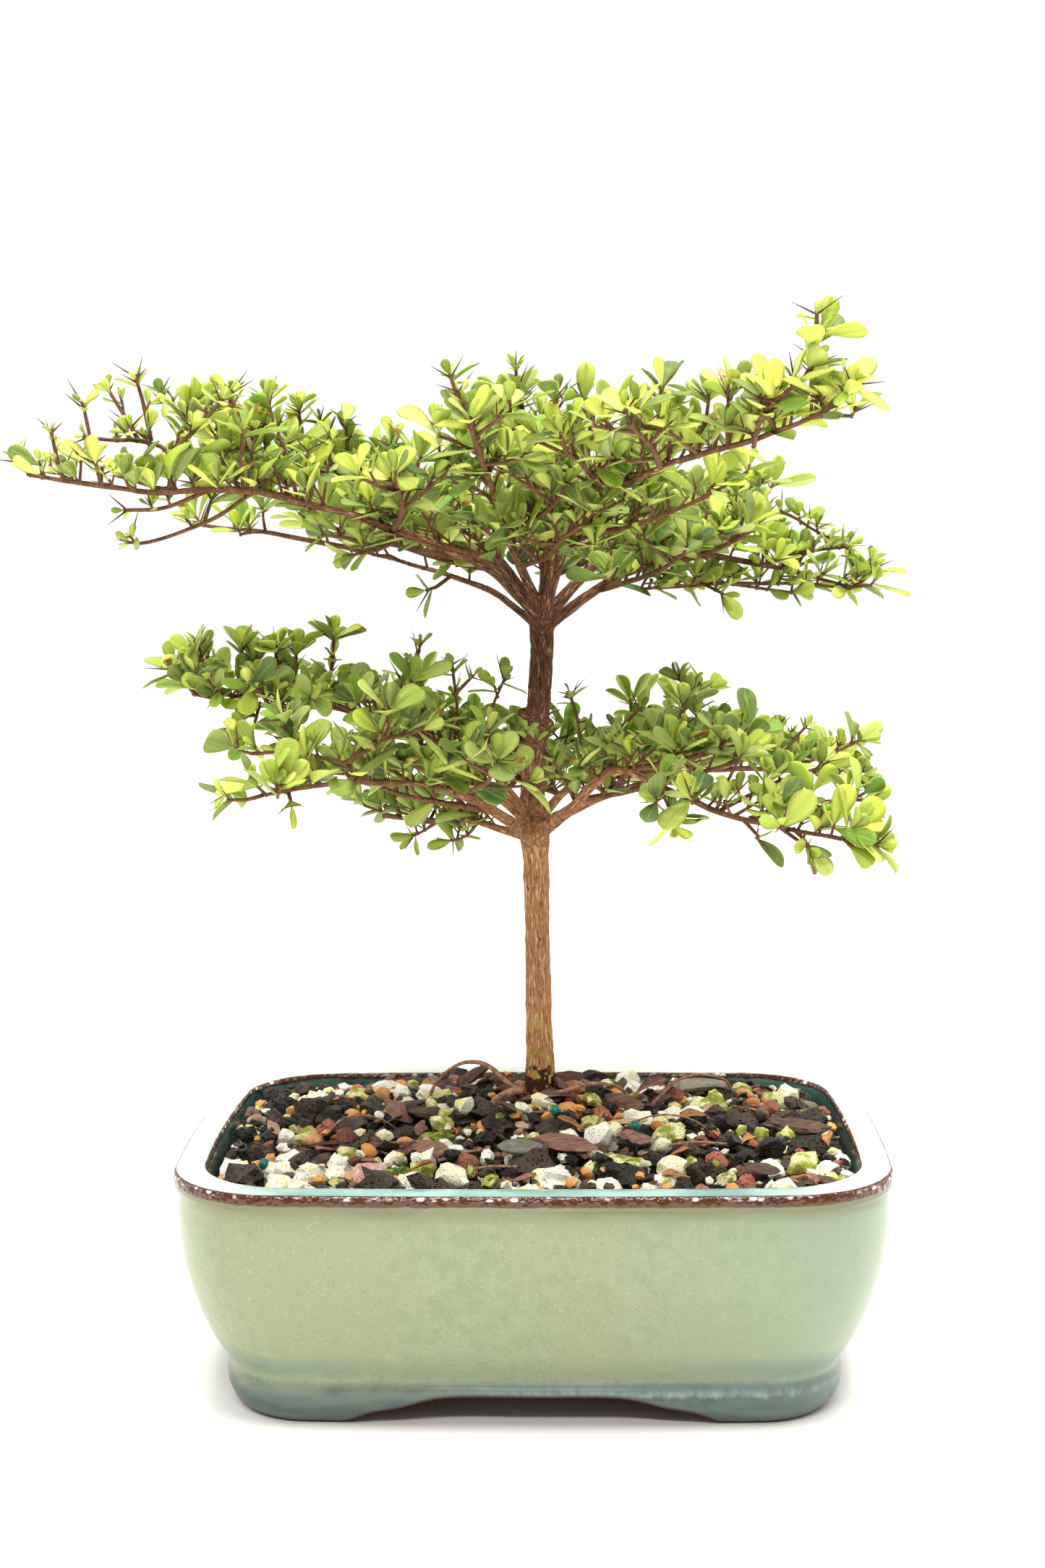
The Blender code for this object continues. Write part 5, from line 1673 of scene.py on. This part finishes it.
LEAFY_FINISHES = [bark_finish("twig_bark", True), leaf_finish()]


def add_growth(name, growth, *nodes):
    marks = {"blade": np.vstack(growth.blade), "growth": np.vstack(growth.tint)}
    piece = add_mesh(name, np.vstack(growth.points), growth.faces, LEAFY_FINISHES, marks, growth.kinds)
    piece.location = POT_PLACE
    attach(piece, "root")
    if nodes:
        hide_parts(*nodes)


crowd = Crowd()
for limb_name, (_, _, limb_bare, _) in LIMBS.items():
    crowd.fill(part_of_route(smooth_route(limb_route(limb_name), CROWD_STEP), 0, limb_bare))
for limb_name in SHOWN_LIMBS:
    crowd.keep_front_clear(smooth_route(limb_route(limb_name), CROWD_STEP)[12:])
for _, twig_places, _, _ in FRONT_TWIGS:
    crowd.keep_front_clear(smooth_route(in_metres(twig_places), CROWD_STEP)[:-2])
for stem_name, stem_route in stem_routes().items():
    stem = Growth()
    grow_stem(stem_name, stem_route, spurs_of(stem_name, stem_route), crowd, stem)
    add_growth("leafy_" + stem_name, stem, stem_name)

# Leaves straight on the limbs
# The limbs carry short spurs of their own, on top and at their sides, from a little way out of
# each crotch. They are one piece for each tier, because they grow on one piece of wood.
for tier in ("low", "up"):
    tier_growth = Growth()
    for limb_name, (_, _, limb_bare, _) in LIMBS.items():
        if not limb_name.startswith(tier):
            continue
        draw = random.Random(limb_name + " spurs")
        route = part_of_route(smooth_route(limb_route(limb_name), FINE_STEP), 0, limb_bare)
        outer = part_of_route(route, 0.3, 1)
        grow_buds(tier_growth, crowd, outer, draw, spacing_on(limb_name, 6 * MM), 12.2 * MM, (4, 12))
        outer = part_of_route(route, 0.45, 1)
        grow_side_shoots(tier_growth, crowd, outer, draw, spacing_on(limb_name, 14 * MM))
        if spacing_on(limb_name, 1) > 2:
            continue
        for _ in range(3 if tier == "up" else 2):
            foot, _ = along(route, draw.uniform(0.4, 1))
            length = draw.uniform(8, 20 if tier == "up" else 15) * MM
            grow_top_shoot(tier_growth, crowd, wandered(foot), length, draw)
    add_growth(f"limb_leaves_{tier}", tier_growth)

# Longer side twigs
# Twigs that branch again and stand out from the tiers: new yellow growth at the upper left, long
# blades at the upper right, and full ones at the ends of the lower tier. In millimetres, with the
# number of leaves at the tip and the longest of them.
SIDE_TWIGS = [
    ("up", [(57, -98, 267), (59, -110, 275), (69, -118, 284), (70, -120, 291)], 4, 14.5),
    ("up", [(59, -110, 275), (60, -112, 280)], 4, 14),
    ("up", [(72, -112, 274), (76, -116, 278), (79, -119, 281)], 3, 10),
    ("up", [(70, -120, 291), (70, -120, 298)], 3, 6),
    ("up", [(-72, -64, 258), (-86, -62, 250), (-100, -66, 245), (-105, -70, 245)], 3, 8),
    ("up", [(-86, -62, 250), (-84, -60, 257)], 3, 9),
    ("up", [(-84, -70, 258), (-94, -72, 254), (-105, -76, 253)], 2, 7),
    ("up", [(-34, -34, 247), (-41, -38, 243), (-49, -42, 241)], 4, 12.5),
    ("up", [(-41, -38, 243), (-50, -43, 246), (-57, -46, 247)], 3, 13),
    ("up", [(-25, 14, 235), (-29, 12, 232), (-32, 10, 231)], 3, 11.5),
    ("up", [(24, 5, 234), (31, 3, 231), (38, 2, 231.5)], 4, 10.5),
    ("up", [(34, 6, 236), (43, 4, 232), (48, 4, 231.5)], 3, 9.5),
    ("up", [(-93, -74, 258), (-93, -74, 268), (-100, -76, 271), (-107, -78, 271), (-114, -80, 272)], 4, 7),
    ("up", [(-93, -74, 268), (-86, -72, 274), (-79, -70, 282)], 4, 9),
    ("up", [(-109, -81, 259), (-111, -82, 268), (-113, -82, 280)], 4, 7),
    ("up", [(-100, -76, 271), (-104, -76, 278), (-108, -76, 285)], 4, 7),
    ("up", [(-97, -75, 271), (-99, -74, 280), (-101, -74, 287)], 4, 7),
    ("up", [(-86, -70, 258), (-89, -66, 268), (-91, -60, 281)], 5, 12.5),
    ("up", [(-78, -67, 258), (-81, -60, 266), (-84, -52, 274)], 5, 11.5),
    ("up", [(-71, -62, 258), (-74, -54, 268), (-72, -48, 276)], 5, 12),
    ("up", [(-118, -85, 261), (-119, -86, 266), (-120, -87, 271)], 4, 6),
    ("up", [(-68, 0, 268), (-67, -2, 277), (-67, -4, 284)], 5, 9.5),
    ("up", [(-77, -2, 272), (-76, -4, 281), (-76, -5, 289)], 4, 7),
    ("up", [(-56, 3, 264), (-54, 0, 273), (-54, -2, 281)], 5, 10),
    ("up", [(-87, -7, 276), (-86, -8, 283), (-86, -8, 289)], 4, 7),
    ("up", [(-46, 10, 261), (-43, 6, 269), (-41, 4, 276)], 5, 10),
    ("up", [(-13, -95, 272), (-16, -95, 279), (-18, -94, 286)], 4, 8),
    ("up", [(-3, -2, 283), (-4, -3, 290), (-4, -3, 296)], 4, 7),
    ("up", [(10, -88, 268), (8, -86, 275), (8, -85, 281)], 5, 10),
    ("up", [(17, -88, 270), (16, -84, 276), (15, -80, 281)], 5, 10),
    ("up", [(37, -73, 264), (38, -74, 272), (39, -74, 279)], 5, 11),
    ("up", [(44, -82, 265), (46, -82, 274), (47, -82, 281)], 5, 11),
    ("up", [(51, -91, 267), (52, -92, 275), (51, -92, 281)], 5, 11),
    ("up", [(36, 8, 236), (49, 14, 233), (66, 18, 231), (80, 22, 229)], 5, 10),
    ("up", [(49, 14, 233), (57, 6, 229)], 4, 10),
    ("up", [(-62, -56, 257), (-66, -54, 272), (-70, -48, 282)], 5, 9.5),
    ("up", [(-94, -10, 278), (-99, -22, 283), (-103, -30, 285)], 5, 8),
    ("up", [(-78, -4, 271), (-84, -14, 281), (-86, -22, 288)], 5, 8),
    ("up", [(70, 16, 238), (86, 24, 242), (97, 30, 243)], 5, 10),
    ("up", [(62, 76, 258), (80, 62, 254), (93, 50, 246)], 5, 9),
    ("up", [(37, 12, 231), (60, 16, 232), (81, 20, 232), (96, 24, 230)], 4, 10),
    ("up", [(96, 24, 230), (101, 23, 233), (104, 22, 237)], 3, 10),
    ("low", [(-90, -22, 201), (-91, -26, 210), (-96, -30, 214)], 6, 11),
    ("low", [(-80, -16, 199), (-80, -18, 212)], 6, 11.5),
    ("low", [(-70, -14, 197), (-68, -14, 214)], 6, 11),
    ("low", [(-62, -12, 196), (-58, -14, 209), (-57, -14, 218)], 6, 11.5),
    ("low", [(-76, -15, 198), (-76, -34, 203), (-78, -44, 206)], 6, 11.5),
    ("low", [(-52, -8, 195), (-58, -28, 199), (-61, -44, 202)], 6, 11),
    ("low", [(-84, -18, 200), (-88, -38, 204)], 6, 11),
    ("low", [(81, -90, 168), (90, -93, 167)], 5, 11),
    ("low", [(66, -81, 170), (72, -92, 166)], 6, 11.5),
    ("low", [(50, -71, 173), (66, -64, 180), (80, -60, 184)], 6, 11),
    ("low", [(70, 3, 177), (84, -14, 182), (94, -22, 188)], 6, 10.5),
    ("low", [(84, 2, 176), (96, -12, 176)], 6, 10.5),
    ("low", [(58, -76, 172), (76, -74, 176), (90, -72, 176)], 6, 11),
    ("low", [(-95, -23, 202), (-98, -26, 206), (-102, -28, 210)], 6, 11),
    ("low", [(-90, -20, 201), (-92, -22, 209), (-94, -24, 214)], 6, 11),
    ("low", [(-83, -17, 199), (-83, -18, 209), (-83, -20, 216)], 6, 11.5),
    ("low", [(-73, -14, 198), (-73, -16, 208), (-74, -17, 215)], 6, 11.5),
    ("low", [(-79, -16, 199), (-79, -26, 194), (-81, -32, 190)], 6, 11),
    ("low", [(-66, -12, 197), (-67, -24, 192), (-69, -32, 188)], 6, 11),
    ("low", [(-68, -88, 180), (-72, -89, 179), (-77, -90, 179)], 4, 11),
    ("low", [(-62, -82, 180), (-61, -84, 176.5)], 2, 13),
    ("low", [(-30, 33, 159), (-35, 40, 155), (-40, 44, 152)], 4, 11),
    ("low", [(-17, 20, 160), (-21, 24, 155), (-26, 28, 153)], 4, 12),
    ("low", [(-33, -1, 189), (-35, -4, 202), (-32.6, -6, 216)], 4, 7),
    ("low", [(-21, 1, 180), (-22.4, -2, 198), (-23, -4, 208)], 4, 8.5),
    ("low", [(-23, -3, 200), (-17, -4, 206)], 2, 9),
    ("low", [(-12, 22, 174), (-14, 8, 190), (-8.5, 1, 205)], 3, 11),
    ("low", [(14, 14, 176), (14, 12, 189), (11, 10, 200)], 2, 7),
    ("low", [(24, 6, 170), (26, 4, 188), (32, 0, 196)], 2, 8),
    ("low", [(46, 7, 175), (50, 8, 196), (43.5, 10, 204)], 4, 9.5),
    ("low", [(70, 3, 177), (75, -14, 186), (79, -20, 192)], 3, 7),
    ("low", [(-44, -28, 198), (-46, -30, 205)], 2, 13),
    ("low", [(-76, -76, 182), (-79, -80, 179)], 4, 10),
    ("low", [(-44, -66, 181), (-38, -56, 190), (-36, -50, 195)], 5, 11),
    ("low", [(36, -55, 177), (38, -60, 173), (39, -62, 168)], 4, 12.5),
    ("low", [(56, -75, 172), (60, -77, 168), (61, -78, 167)], 1, 12),
    ("low", [(69, -82, 170), (72, -84, 167), (73, -85, 165)], 3, 13),
    ("low", [(81, -90, 168), (84, -90, 166)], 3, 10),
    ("low", [(12, -14, 170), (8, -24, 180), (2, -28, 187), (-5, -28, 188)], 5, 8),
]
for tier in ("low", "up"):
    tier_growth = Growth()
    for number, (twig_tier, twig_places, leaves, leaf_length) in enumerate(FRONT_TWIGS + SIDE_TWIGS):
        if twig_tier != tier:
            continue
        draw = random.Random(f"side twig {number}")
        route = in_metres(twig_places)
        grow_twig(tier_growth, route, (0.62 * MM, 0.42 * MM))
        tip_way = (route[-1] - route[-2] + UP * MM).normalized()
        grow_rosette(tier_growth, crowd, wandered(route[-1]), tip_way, draw, leaves, leaf_length * MM)
        grow_spines(tier_growth, wandered(route[-1]) - tip_way * MM, tip_way, draw)
        if (route[-1] - route[0]).length > 10 * MM:
            apart = (5.5 if leaves > 3 else 14) * MM
            grow_buds(tier_growth, crowd, route, draw, apart, leaf_length * 0.9 * MM, (1.5, 5))
    add_growth(f"side_twigs_{tier}", tier_growth)

# Surface roots and fallen leaves
# Thin roots leave the trunk's foot, arch over the grit and go back into it. Bits of twig and dead
# leaves lie loose on top: a purple-brown one against the trunk, and smaller orange-brown ones.
# Routes in millimetres with the radius at their start, then place, turn in degrees and length.
SURFACE_ROOTS = [
    ([(-3, 3, 79), (-8, 3, 82), (-15, 6, 87), (-23, 10, 86), (-30, 12, 80), (-33, 13, 73)], 0.85),
    ([(-3, 2, 80), (-7, -1, 80), (-12, -2, 77.5), (-16, -2, 71)], 1.5),
    ([(4, 2, 79), (10, -3, 81), (18, 0, 82.5), (25, 6, 80), (31, 10, 73)], 0.75),
    ([(36, 12, 73), (44, 18, 79), (52, 22, 80), (60, 30, 76), (63, 33, 69)], 0.6),
    ([(2, 8, 80), (8, 13, 79), (16, 16, 76), (22, 18, 70)], 1.4),
    ([(-3, 8, 80), (-8, 14, 79), (-14, 20, 74)], 1.2),
    ([(-64, -12, 68), (-55, -15, 76), (-46, -15, 76), (-38, -12, 70)], 0.35),
    ([(24, -18, 72), (34, -22, 78), (46, -20, 77), (54, -14, 70)], 0.35),
]
LOOSE_TWIGS = [
    ((40, 8), 10, 16), ((-36, -30), -20, 13), ((46, -34), -14, 19), ((70, -20), 40, 14),
    ((-64, -26), 60, 11), ((-20, -40), 24, 14), ((20, -20), 80, 12), ((68, 20), -30, 18),
    ((-46, 14), 15, 16), ((-10, -52), -8, 12),
]
DEAD_LEAVES = [
    ((-5, -6), 14, 17, 0.1), ((15, -27), 168, 9, 0.9), ((38, -40), 30, 8, 0.8),
    ((-22, -27), 100, 8, 0.7), ((52, -8), 200, 9, 0.5), ((-52, -22), -30, 9, 0.3),
    ((30, 14), 20, 12, 0.2), ((70, 6), 150, 11, 0.9), ((-36, 16), 60, 9, 0.6),
    ((0, -36), 10, 10, 0.3), ((-66, 20), -50, 8, 0.8), ((86, -22), 90, 9, 0.6),
    ((44, -54), 170, 8, 0.95), ((-34, -52), 20, 7, 0.9), ((60, -30), 60, 8, 0.85),
    ((18, 18), 120, 12, 0.15),
]


def dead_leaf_finish():
    """Dry leaf: purple brown or orange brown, darker in blotches, with a pale rib."""
    dry = Finish("dead_leaf", 0.6)
    across = dry.reckon("ABSOLUTE", dry.mark("blade")["Y"], 0)
    tone = dry.mark("growth")["X"]
    colour = dry.tint(dry.step(tone, 0.35, 0.6), (0.17, 0.07, 0.055), (0.46, 0.19, 0.035))
    blotch = dry.step(dry.cloud(3 * MM, 4), 0.42, 0.62)
    darker = dry.tint(dry.step(tone, 0.35, 0.6), (0.09, 0.032, 0.026), (0.24, 0.08, 0.02))
    colour = dry.tint(blotch, colour, darker)
    colour = dry.tint(dry.step(across, 0.14, 0.02), colour, (0.46, 0.26, 0.14), 0.5)
    return dry.finish(colour, None, dry.bump(dry.cloud(0.7 * MM, 3), 0.15 * MM))


def make_roots():
    points = []
    faces = []
    lines = [(smooth_route(in_metres(spots), 2 * MM), thick) for spots, thick in SURFACE_ROOTS]
    for (x, y), turn, length in LOOSE_TWIGS:
        middle = Vector((x * MM, y * MM, heap.height_at(x * MM, y * MM) + 0.4 * MM))
        way = Vector((math.cos(math.radians(turn)), math.sin(math.radians(turn)), 0.12)) * length * MM / 2
        lines.append((smooth_route([middle - way, middle + UP * 0.6 * MM, middle + way], 2 * MM), 0.55))
    for route, thick in lines:
        spots = [wandered(spot) for spot in route]
        sizes = [
            thick * MM * (1 - 0.45 * share) * (1 + 0.2 * noise.noise(spot / (3 * MM)))
            for spot, share in zip(spots, shares_of(spots))
        ]
        ring_points, sides = tube(spots, sizes, 8)
        faces += [tuple(index + len(points) for index in face) for face in sides]
        points += ring_points
    bark = Finish("root_bark", 0.8)
    fibre = bark.cloud(1.2 * MM, 4)
    colour = bark.tint(bark.step(fibre, 0.3, 0.7), (0.17, 0.075, 0.036), (0.46, 0.26, 0.145))
    finish = bark.finish(colour, None, bark.bump(fibre, 0.15 * MM))
    return add_mesh("surface_roots", points, faces, [finish])


def make_dead_leaves():
    fallen = Growth()
    for number, ((x, y), turn, length, tone) in enumerate(DEAD_LEAVES):
        draw = random.Random(f"dead leaf {number}")
        shape = FINE_BLADE.points(
            length * MM, draw.uniform(0.38, 0.5), draw.random(),
            draw.uniform(0.3, 0.6), draw.uniform(-0.2, -0.05), draw.uniform(-0.4, 0.4),
            0.02, draw.uniform(0, 6),
        )
        laid = Matrix.Rotation(math.radians(turn), 3, "Z") @ Matrix.Rotation(draw.uniform(-0.5, 0), 3, "Y")
        laid = laid @ Matrix.Rotation(draw.uniform(-0.5, 0.9), 3, "X")
        foot = Vector((x * MM, y * MM, heap.height_at(x * MM, y * MM) + MM))
        fallen.add_blade(FINE_BLADE, shape @ np.array(laid).T + np.array(foot), (tone, draw.random(), 0))
    marks = {"blade": np.vstack(fallen.blade), "growth": np.vstack(fallen.tint)}
    return add_mesh("fallen_leaves", np.vstack(fallen.points), fallen.faces, [dead_leaf_finish()], marks)


for loose, loose_slot in ((make_roots(), "bark"), (make_dead_leaves(), "foliage")):
    loose.location = POT_PLACE
    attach(loose, "root")
